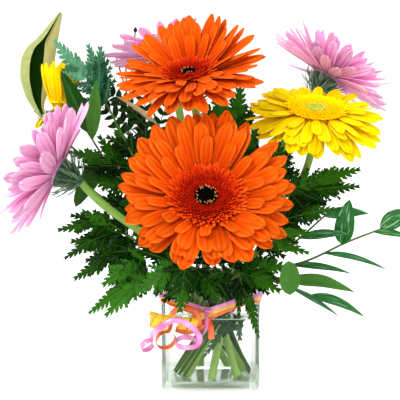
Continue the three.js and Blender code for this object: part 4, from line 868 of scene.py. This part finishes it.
def eye(bloom, place, seed):
    """A low cushion covered in tiny florets, pale ones among the outermost."""
    rng = np.random.default_rng(seed)
    piece = Piece()
    reach = bloom["eye"] - 0.4
    cushion = [(0.5, 4.3), (reach - 0.6, 4.3), (reach, 4.8), (reach * 0.6, 5.3), (0.5, 5.5)]
    piece.turned(cushion, 24, place, tint=0.1)
    for radius, turn, s in spiral(int(reach ** 2 * 1.5), 0, reach):
        foot = np.array([math.cos(turn) * radius, math.sin(turn) * radius, 5.2 - 0.5 * s ** 2])
        pale = s > 0.72 and rng.random() < 0.5
        height, tint = (1.5, 1.0) if pale else (0.9, 0.6 * s)
        floret(piece, place, foot, shaken(UP, 0.25, rng), height, 0.42, tint, points=3)
    look = "dark_eye" if bloom["dark"] else "pale_eye"
    piece.finish(bloom["name"] + "_eye_fine", [LOOKS[look]], ["eye_" + bloom["name"]], sharp=60)


def scale_leaf(piece, place, turn, low, mid, tip, tint):
    """A narrow pointed scale on the cup."""
    s, v = np.linspace(0, 1, 6), np.array([-1, 0, 1.0])
    line = samples(bezier(low, mid, tip), len(s))
    width = 1.2 * np.array([0.8, 1.0, 1.0, 0.85, 0.5, 0.08])
    r = line[:, :1] - 0.25 * (v ** 2)[None, :]
    angle = turn + width[:, None] * v[None, :] / np.maximum(line[:, :1], 3)
    grid = np.stack([r * np.cos(angle), r * np.sin(angle), np.broadcast_to(line[:, 1:], r.shape)], -1)
    piece.sheet(place(grid)[:, ::-1], 0.5, s[:, None], v[None, ::-1], tint=tint, slot=1)


def stalk(bloom, place, seed):
    """Stem and green cup with its rows of pointed scales."""
    rng = np.random.default_rng(seed)
    piece = Piece()
    axis = unit(bloom["facing"])
    end = np.array(bloom["centre"], float) - axis * CUP_DEPTH
    curve = free_stem(THICK, bloom["slot"], end, unit(bloom.get("arrival", axis)))
    points = stem_points(THICK, bloom["slot"], VASE["floor"] + 0.4, curve)
    swell = 1 + 0.04 * np.sin(np.linspace(0, 19, len(points)) + rng.uniform(0, 6))
    piece.tube(points, THICK["radius"] * swell, 16)
    piece.turned(CUP_PROFILE, 24, place, slot=1)
    for count, low, mid, tip in CUP_SCALES:
        for i in range(count):
            jitter = rng.normal(size=3)
            bent = (tip[0] + 1.6 * jitter[1], tip[1] + 1.4 * jitter[2])
            turn = 2 * math.pi * (i + 0.3 * jitter[0]) / count
            scale_leaf(piece, place, turn, low, mid, bent, 0.62 * i % 1)
    piece.finish(bloom["name"] + "_stem_fine", [LOOKS["flower_stem"], LOOKS["cup"]],
                 ["stem_" + bloom["name"]])


# Leaves and fronds

# Shares of a frond's length: its pairs of pinnae end at one, its end blade starts at the other
PAIRS_END, BLADE_START = 0.62, 0.46
# A tooth of a pinna: shares of its pitch along the rib, of its reach, and of the blade's half width
TOOTH_ALONG = np.array([0.0, 0.42, 1.12, 1.3, 1.0])
TOOTH_REACH = np.array([0.5, 0.88, 1.12, 0.86, 0.5])
TOOTH_ACROSS = np.array([0.4, 0.9, 1.0, 0.8, 0.4])
LEAF_COLUMNS = np.array([-1, -0.8, -0.5, -0.12, 0, 0.12, 0.5, 0.8, 1.0])


def blade_route(start, tip, arch):
    start, tip = np.asarray(start, float), np.asarray(tip, float)
    return bezier(start, (start + tip) / 2 + UP * arch, tip)


def frond(piece, route, face, spread, rng, tint, bare=0.1, slot=0):
    """A leather-fern frond: toothed pinnae that run together into one toothed blade at the tip."""
    line = samples(route, 9)
    piece.tube(line, np.linspace(0.55, 0.2, 9), 5, slot=1)
    span = np.linalg.norm(line[-1] - line[0])
    pairs = int(np.clip(round(span * (PAIRS_END - bare) / 6.2), 2, 5))
    for i in range(pairs):
        share = (i + 0.4) / pairs
        point, along, side, normal = blade_frame(route, face, bare + (PAIRS_END - bare) * share)
        for sign in (-1, 1):
            length = spread * (1.05 - 0.42 * share) * (1 + 0.08 * rng.normal())
            ahead = math.radians(36 + 16 * share + 5 * rng.normal())
            heading = unit(side * sign * math.cos(ahead) + along * math.sin(ahead)
                           + normal * 0.12 * rng.normal())
            # Painted shade and light: besides a random tone, pinnae near the frond's foot are darker and
            # those towards the tip lighter
            shade = tint + 0.12 * rng.normal() + 0.6 * share - 0.4
            pinna(piece, point, heading, shaken(normal, 0.18, rng), length, 2.4 + 0.11 * length, 3.4,
                  rng, shade, slot, 0.2)
    point, along, side, normal = blade_frame(route, face, BLADE_START)
    reach = route(1.0) - point
    length = np.linalg.norm(reach)
    # Painted light: the end blade gets a lighter tint, as a lit tip
    pinna(piece, point, reach / length, normal, length, min(spread * 0.5, length * 0.33), 4.2, rng,
          tint + 0.3, slot, 0.02)


def pinna(piece, start, heading, normal, length, width, pitch, rng, tint, slot, droop):
    """A tapering closed blade whose edges are cut into pointed teeth that lean forwards."""
    side = unit(np.cross(normal, heading))
    normal = np.cross(heading, side)
    lobes = int(np.clip(round(length / pitch), 2, 9))
    count = lobes + 1
    s = np.linspace(0, 1, count)

    def middle(x):
        return start + np.multiply.outer(x, heading) * length \
            - np.multiply.outer(x ** 2, normal) * length * droop
    lift = 0.16 * (1 - 0.7 * s)[:, None] * normal
    points, tris = [middle(s) + lift, middle(s) - lift], []
    a = 2 * count
    for sign in (-1, 1):
        for i in range(lobes):
            taper = min(1.0, 0.7 + 1.4 * s[i]) * (1 - s[i]) ** 0.8
            reach = width * taper * (1 + 0.1 * rng.normal()) + 0.25
            spots = np.minimum(s[i] + 1 / lobes * TOOTH_ALONG, 1.06)
            out = TOOTH_REACH * reach
            points.append(middle(spots) + np.multiply.outer(out, side) * sign
                          - np.multiply.outer(out ** 2, normal) * 0.02)
            fan = [(i, a + k, a + k + 1) for k in range(4)] + [(i, a + 4, i + 1)]
            ends = [(i, i + count, a), (i + 1, a + 4, i + 1 + count)]
            for f in fan:
                under = tuple(k + count if k < count else k for k in f)
                tris += [f, under[::-1]] if sign < 0 else [f[::-1], under]
            tris += ends if sign < 0 else [f[::-1] for f in ends]
            a += 5
    across = np.concatenate([np.zeros(2 * count), np.tile(TOOTH_ACROSS, 2 * lobes)])
    piece.add(np.concatenate(points), tris=tris, along=0.5, across=across, tint=tint, slot=slot)


def companion(piece, start, tip, arch, face, spread, rng):
    """A smaller frond behind the main one, darker by painted shade, so that the foliage closes up."""
    reach = np.asarray(tip, float) - start
    swing = unit(np.cross(reach, face)) * rng.choice((-1, 1)) * rng.uniform(0.2, 0.4)
    swing = swing - unit(face * (1, 1, 0)) * rng.uniform(0.08, 0.25)
    end = start + (unit(reach) + swing) * np.linalg.norm(reach) * rng.uniform(0.55, 0.8)
    # Painted shade: the companion's tint is darker than the main fronds'
    frond(piece, blade_route(start, end, arch * 0.6), shaken(face, 0.3, rng), spread * 0.8, rng,
          bare=0.12, tint=rng.uniform(-0.3, 0.1))


def leaf(piece, route, face, half, rng, blunt, full, fold=0.25, wave=0.05, *, tint, rows=15):
    """A pointed oval leaf folded along its midrib, with a waved margin."""
    s, v = np.linspace(0, 1, rows), LEAF_COLUMNS
    outline = np.maximum(np.sin(math.pi * s ** blunt) ** full * (1 - 0.25 * s), 0.05 / half)
    outline[s < 0.08] = np.maximum(outline[s < 0.08], 0.9 / half)
    phase = rng.uniform(0, 6.28, 2)
    off = np.abs(v)
    grid = np.zeros((rows, len(v), 3))
    for i, t in enumerate(s):
        point, _, side, normal = blade_frame(route, face, t)
        w = half * outline[i]
        lift = w * (fold * off + wave * 2 * off ** 2 * np.sin(9 * t + phase[0] + np.sign(v) * phase[1]))
        lift[len(v) // 2] -= 0.12
        grid[i] = point + np.outer(w * v * (1 - 0.3 * fold * off), side) + np.outer(lift, normal)
    piece.sheet(grid, 0.5, s[:, None], v[None, :], tint=tint)


def sprig(piece, route, face, half, rng, pairs=6):
    """A dark sprig with small oval leaves in pairs."""
    piece.tube(samples(route, 8), np.linspace(0.6, 0.35, 8), 5, slot=1)
    for i in range(pairs):
        share = (i + 0.5) / pairs
        point, along, side, normal = blade_frame(route, face, 0.08 + 0.9 * share)
        for sign in (-1, 1):
            heading = unit(side * sign * 0.8 + along * 0.6 + normal * 0.15 * rng.normal())
            length = half * 1.6 * (1 - 0.3 * share) * (1 + 0.08 * rng.normal())
            path = bezier(point, point + heading * length * 0.5 + normal * 0.6, point + heading * length)
            leaf(piece, path, shaken(LEAF_FACE, 0.2, rng), length * 0.29, rng, blunt=0.85, full=0.6,
                 tint=rng.uniform(0, 1), rows=8)


def bud(piece, route):
    """A thin stalk with a closed bud at its end."""
    piece.tube(samples(route, 6), 0.6, 6, slot=1)
    tip = route(1.0)
    grow = unit(tip - route(0.8))
    piece.tube([tip + grow * h for h in np.linspace(-2.6, 2.8, 6)], [0.3, 1.2, 1.9, 1.7, 1.0, 0.2], 8)


def green(item, seed):
    """One cut stem with everything that springs from it."""
    rng = np.random.default_rng(seed)
    piece = Piece()
    look = item.get("look", "fern")
    kind = item.get("kind", "fern" if look == "fern" else "leaf")
    curve = thin_stem(piece, item, 1.15, 0.8)
    for at, tip, half, arch, *stalk_end in item["blades"]:
        start = curve(at)
        if stalk_end:
            piece.tube(samples(blade_route(start, stalk_end[0], -3), 7), 0.5, 6, slot=1)
            start = np.array(stalk_end[0], float)
        route = blade_route(start, tip, arch)
        face = LEAF_FACE * (1, -1, 1) if start[1] > BEHIND else LEAF_FACE
        if kind == "fern":
            span = np.linalg.norm(np.array(tip) - start)
            spread = max(half * 1.35, span * 0.3) if tip[2] > 55 else half * 1.1
            frond(piece, route, shaken(face, 0.15, rng), spread, rng, bare=0.08,
                  tint=rng.uniform(0.1, 0.8))
            if item.get("companions", True):
                companion(piece, start, tip, arch, face, spread, rng)
        elif kind == "sprig":
            sprig(piece, route, face, half, rng)
        elif kind == "bud":
            bud(piece, route)
        else:
            broad, fold, wave = (1.15, 0.18, 0.02) if look == "ruscus" else (0.95, 0.22, 0.06)
            blunt, full = (1.05, 0.5) if half > 10.5 else (0.8, 0.62) if half > 8 else (0.8, 0.85)
            leaf(piece, route, shaken(face, 0.2, rng), half * broad, rng, blunt, full, fold, wave,
                 tint=rng.uniform(0, 1) - item.get("darker", 0))
    # Painted shade: the shaded fronds get a dark tint
    for start, tip, spread in item.get("shaded", ()):
        frond(piece, blade_route(start, tip, 3), shaken(LEAF_FACE, 0.2, rng), spread, rng, tint=-0.45)
    for start, tip, spread in item.get("sprigs", ()):
        sprig(piece, blade_route(start, tip, 3), LEAF_FACE, spread, rng, pairs=5)
    for start, tip, spread in item.get("wet", ()):
        frond(piece, blade_route(start, tip, 2), unit((0.1, -1, 0.3)), spread, rng, bare=0.05, tint=0.3,
              slot=2)
    stem_slot = "bud" if look == "dark_sprig" else "thin_stem"
    looks = [LOOKS[name] for name in (item.get("material", look), stem_slot, "wet_fern")]
    piece.finish(item["name"] + "_fine", looks, [item["name"]], sharp=50)


def boat_leaf(item):
    """The large leaf rolled along its length: pale outside, dark green within."""
    piece = Piece()
    thin_stem(piece, item, 1.2, 1.0)
    route = catmull([item["end"], *item["line"]])
    spots = samples(catmull([(a, b, 0) for a, b in item["section"]]), 25)
    halves = catmull([(h, 0, 0) for h in item["halves"]])
    rows = np.linspace(0, 1, 33)
    grid = np.zeros((len(rows), len(spots), 3))
    for i, t in enumerate(rows):
        point, _, side, normal = blade_frame(route, LEAF_FACE, t)
        half = max(halves(t)[0], 0.8)
        wave = 1 + 0.035 * np.sin(13 * t + np.where(spots[:, 0] > 0, 2.0, 0.0))
        shut = smooth(0.68, 0.8, t) * smooth(0.0, 0.6, spots[:, 1])
        sideways = spots[:, 0] * (1 - shut) + (0.1 + 0.15 * np.sign(spots[:, 0])) * shut
        grid[i] = point + np.outer(sideways * half * wave, side) \
            + np.outer(spots[:, 1] * half * wave, normal)
    piece.sheet(grid, 0.7, rows[:, None], np.linspace(-1, 1, len(spots))[None, :], tint=0.4)
    piece.finish("folded_leaf_fine", [LOOKS["pale_leaf"], LOOKS["thin_stem"]],
                 ["folded_leaf"])


# Ribbons

def loop_stations(item):
    """Turns about an axis by the right hand, starting on the side given and drifting along the axis."""
    steps = math.ceil(abs(item["turns"]) * 14)
    wide = unit(item["axis"])
    first = np.array(item["start"], float)
    first = unit(first - wide * first.dot(wide))
    second = np.cross(wide, first)
    stations = []
    for i in range(steps + 1):
        turn = 2 * math.pi * item["turns"] * i / steps
        outward = first * math.cos(turn) + second * math.sin(turn)
        drift = wide * item.get("drift", 0) * i / steps
        stations.append((np.array(item["loop"], float) + item["radius"] * outward + drift,
                         wide + outward * item.get("flare", 0)))
    return stations


def dense(stations):
    """Four times as many stations, along a smooth curve through the given ones."""
    wide = np.array([w for _, w in stations], float)
    count = 4 * len(stations)
    t, spots = np.linspace(0, 1, count), np.linspace(0, 1, len(stations))
    points = samples(catmull([p for p, _ in stations]), count)
    return points, np.stack([np.interp(t, spots, wide[:, k]) for k in range(3)], -1)


def strip(piece, points, wides, width, closed=False):
    """A flat ribbon through the points. Its value along is in metres, for the weave."""
    points, wides = np.asarray(points, float), np.asarray(wides, float)
    if closed:
        heading = unit(np.roll(points, -1, 0) - np.roll(points, 1, 0))
    else:
        heading = unit(np.gradient(points, axis=0))
    side = unit(wides - heading * np.sum(wides * heading, 1, keepdims=True))
    v = np.array([-1, -0.94, 0, 0.94, 1.0])
    grid = points[:, None, :] + side[:, None, :] * (v * (width / 2))[None, :, None]
    if closed:
        grid = np.concatenate([grid, grid[:1]])
    run = np.concatenate([[0], np.cumsum(np.linalg.norm(np.diff(grid[:, 2], axis=0), axis=1))]) * MM
    piece.sheet(grid, RIBBON["thick"], run[:, None], v[None, :])


def knot_point(order):
    x, z = RIBBON["knot"]
    return np.array([x, -(VASE["side"] / 2 + RIBBON["clear"] + order * RIBBON["layer"]),
                     z + RIBBON["knot_step"] * (order - 1)])


def band_points(order):
    """The ring of one ribbon: level round the sides and back, dipping to the knot in front."""
    knot_x, front, low = knot_point(order)
    half = -front
    corner = VASE["corner"] + RIBBON["clear"] + order * RIBBON["layer"]
    level = RIBBON["rim"] + RIBBON["rim_step"] * (order - 1)
    stretch = [(x, front) for x in np.linspace(corner - half, half - corner, 13)]
    stretch += [(half - corner + corner * math.sin(b), corner - half - corner * math.cos(b))
                for b in np.linspace(0, math.pi / 2, 8)[1:-1]]
    points = []
    for c, s in ((1, 0), (0, 1), (-1, 0), (0, -1)):
        for along, outward in stretch:
            x, y = along * c - outward * s, along * s + outward * c
            dip = 1 - abs(x - knot_x) / (half - corner) if y < 0.1 - half else 0
            points.append((x, y, level + (low - level) * max(dip, 0)))
    return points


def ribbon(item):
    """A band round the vase, a short knot in front and the curled tails that leave it."""
    piece = Piece()
    points = band_points(item["order"])
    strip(piece, points, [UP] * len(points), RIBBON["band"], closed=True)
    knot = knot_point(item["order"])
    loop = [knot + (0, -1.5 + 2.0 * math.cos(t), 1.75 * math.sin(t))
            for t in np.linspace(0, 2 * math.pi, 17)[:-1]]
    strip(piece, loop, [RIGHT + 0.15 * UP] * len(loop), 4.2, closed=True)
    piece.tube([knot + (x, -1.4, 0) for x in (-3.2, -2.2, 0, 2.2, 3.2)], [0.5, 1.1, 1.25, 1.1, 0.5], 10)
    for number, tail in enumerate(item["tails"]):
        stations = []
        for part in tail:
            stations += loop_stations(part) if isinstance(part, dict) else [tuple(map(np.array, part))]
        stations.insert(0, (knot + (1.2 * (number - 1), -2.5, 0), stations[0][1]))
        strip(piece, *dense(stations), item["width"])
    look = item["name"] + "_ribbon"
    piece.finish("ribbon_" + item["name"] + "_fine", [LOOKS[look]], ["ribbon_" + item["name"]],
                 sharp=50)


# Vase and water

def square_ring(side, corner, height, inset=0.0):
    """A level square with rounded corners, moved inwards by the inset."""
    half, corner = side / 2 - inset, max(corner - inset, 0.3)
    points = []
    for quarter, signs in enumerate(((1, 1), (-1, 1), (-1, -1), (1, -1))):
        x, y = np.array(signs) * (half - corner)
        for bend in np.linspace(0, math.pi / 2, 9):
            angle = quarter * math.pi / 2 + bend
            points.append((x + corner * math.cos(angle), y + corner * math.sin(angle), height))
    return np.array(points)


def vase():
    """Thick glass: rounded foot and rim, a shallow dent below, and a mask of corners, base and rim."""
    piece = Piece()
    side, corner, top = VASE["side"], VASE["corner"], VASE["height"]
    bore, inner = side - 2 * VASE["wall"], VASE["bore"]
    foot, lip, fillet = 2.6, 1.2, 2.0
    quarter = np.linspace(0, math.pi / 2, 5)
    # Rings of side, corner, height and inset, up the outside and down the bore
    rows = [(side, corner, h, inset) for h, inset in ((0.9, 24), (0.7, 16), (0.0, 8), (0.0, foot))]
    rows += [(side, corner, foot - foot * math.cos(a), foot - foot * math.sin(a))
             for a in np.linspace(0.3, math.pi / 2, 6)]
    rows += [(side, corner, h, 0) for h in (8, 12, 30, 50, 76)]
    rows += [(side, corner, top - lip + lip * math.sin(a), lip - lip * math.cos(a)) for a in quarter]
    rows += [(bore, inner, top - lip + lip * math.cos(a), -lip + lip * math.sin(a)) for a in quarter]
    rows += [(bore, inner, h, 0) for h in (76, 50, 30, 14)]
    rows += [(bore, inner, VASE["floor"] + fillet - fillet * math.sin(a), fillet - fillet * math.cos(a))
             for a in np.linspace(0, math.pi / 2, 6)]
    spots = np.array([square_ring(*row) for row in rows])
    # The mask of corners, base and rim deepens the glass's tint: partly its own green where it is thick,
    # partly painted shade
    nook = smooth(34.5, 38.5, np.abs(spots[..., 0])) * smooth(34.5, 38.5, np.abs(spots[..., 1]))
    base = 0.55 * (1 - smooth(4, 12, spots[..., 2])) + 0.3 * smooth(top - 2.5, top, spots[..., 2])
    piece.loft(spots, tint=np.append(np.maximum(nook, base).ravel(), (0.55, 0.45)))
    piece.finish("vase_fine", [LOOKS["glass"]], ["vase"], sharp=35)


def water():
    """The water reaches a little into the glass, so that no gap shows, and its edge climbs the glass."""
    piece = Piece()
    overlap, fillet = 0.08, 2.0
    side = VASE["side"] - 2 * VASE["wall"] + 2 * overlap
    low, top = VASE["floor"] - overlap, WATER_TOP
    rows = [(low + fillet - fillet * math.cos(a), fillet - fillet * math.sin(a))
            for a in np.linspace(0, math.pi / 2, 6)]
    rows += [(20, 0), (40, 0), (top, 0), (top - 0.9, 0.6), (top - 1.2, 2.2)]
    piece.loft([square_ring(side, VASE["bore"], *row) for row in rows])
    piece.finish("water_fine", [LOOKS["water"]], ["water"], sharp=60)


# Stage, light and camera

def stage():
    scene = bpy.context.scene
    bpy.ops.mesh.primitive_plane_add(size=12, location=(0, 2, 0))
    floor = bpy.context.object
    floor.name = "floor"
    look = Look("pale floor")
    pale = look.mix(look.noise(3.0), (0.955, 0.955, 0.955, 1), (0.965, 0.965, 0.965, 1))
    look.set(Base_Color=pale, Roughness=0.7)
    floor.data.materials.append(look.material)

    world = bpy.data.worlds.new("studio")
    scene.world = world
    world.use_nodes = True
    background = world.node_tree.nodes["Background"]
    background.inputs["Color"].default_value = (1, 1, 1, 1)
    background.inputs["Strength"].default_value = 1.22

    aim = Vector((0, 0, 0.15))
    for name, place, size, energy in (("key", (-0.9, -1.3, 1.5), 0.6, 25),
                                      ("fill", (1.3, -1.0, 0.9), 1.2, 4),
                                      ("back", (0.2, 1.2, 1.4), 1.0, 10)):
        data = bpy.data.lights.new(name, "AREA")
        data.shape, data.size, data.energy = "DISK", size, energy
        light = bpy.data.objects.new(name, data)
        light.location = place
        light.rotation_euler = (aim - Vector(place)).to_track_quat("-Z", "Y").to_euler()
        scene.collection.objects.link(light)

    data = bpy.data.cameras.new("camera")
    data.lens, data.sensor_width, data.sensor_fit = 93.69, 36, "HORIZONTAL"
    data.clip_end = 30
    camera = bpy.data.objects.new("camera", data)
    camera.location = (-0.00857, -0.8551, 0.287)
    camera.rotation_euler = (math.radians(81), 0, 0)
    scene.collection.objects.link(camera)
    scene.camera = camera
    scene.view_settings.view_transform = "Standard"
    scene.view_settings.look = "None"


stage()
vase()
water()
for item in RIBBONS:
    ribbon(item)
for number, bloom in enumerate(BLOOMS):
    place = bloom_place(bloom)
    for seed, make in ((100, stalk), (200, petals), (300, disc), (400, eye)):
        make(bloom, place, seed + number)
boat_leaf(FOLDED_LEAF)
for number, item in enumerate(GREENS):
    green(item, 500 + number)
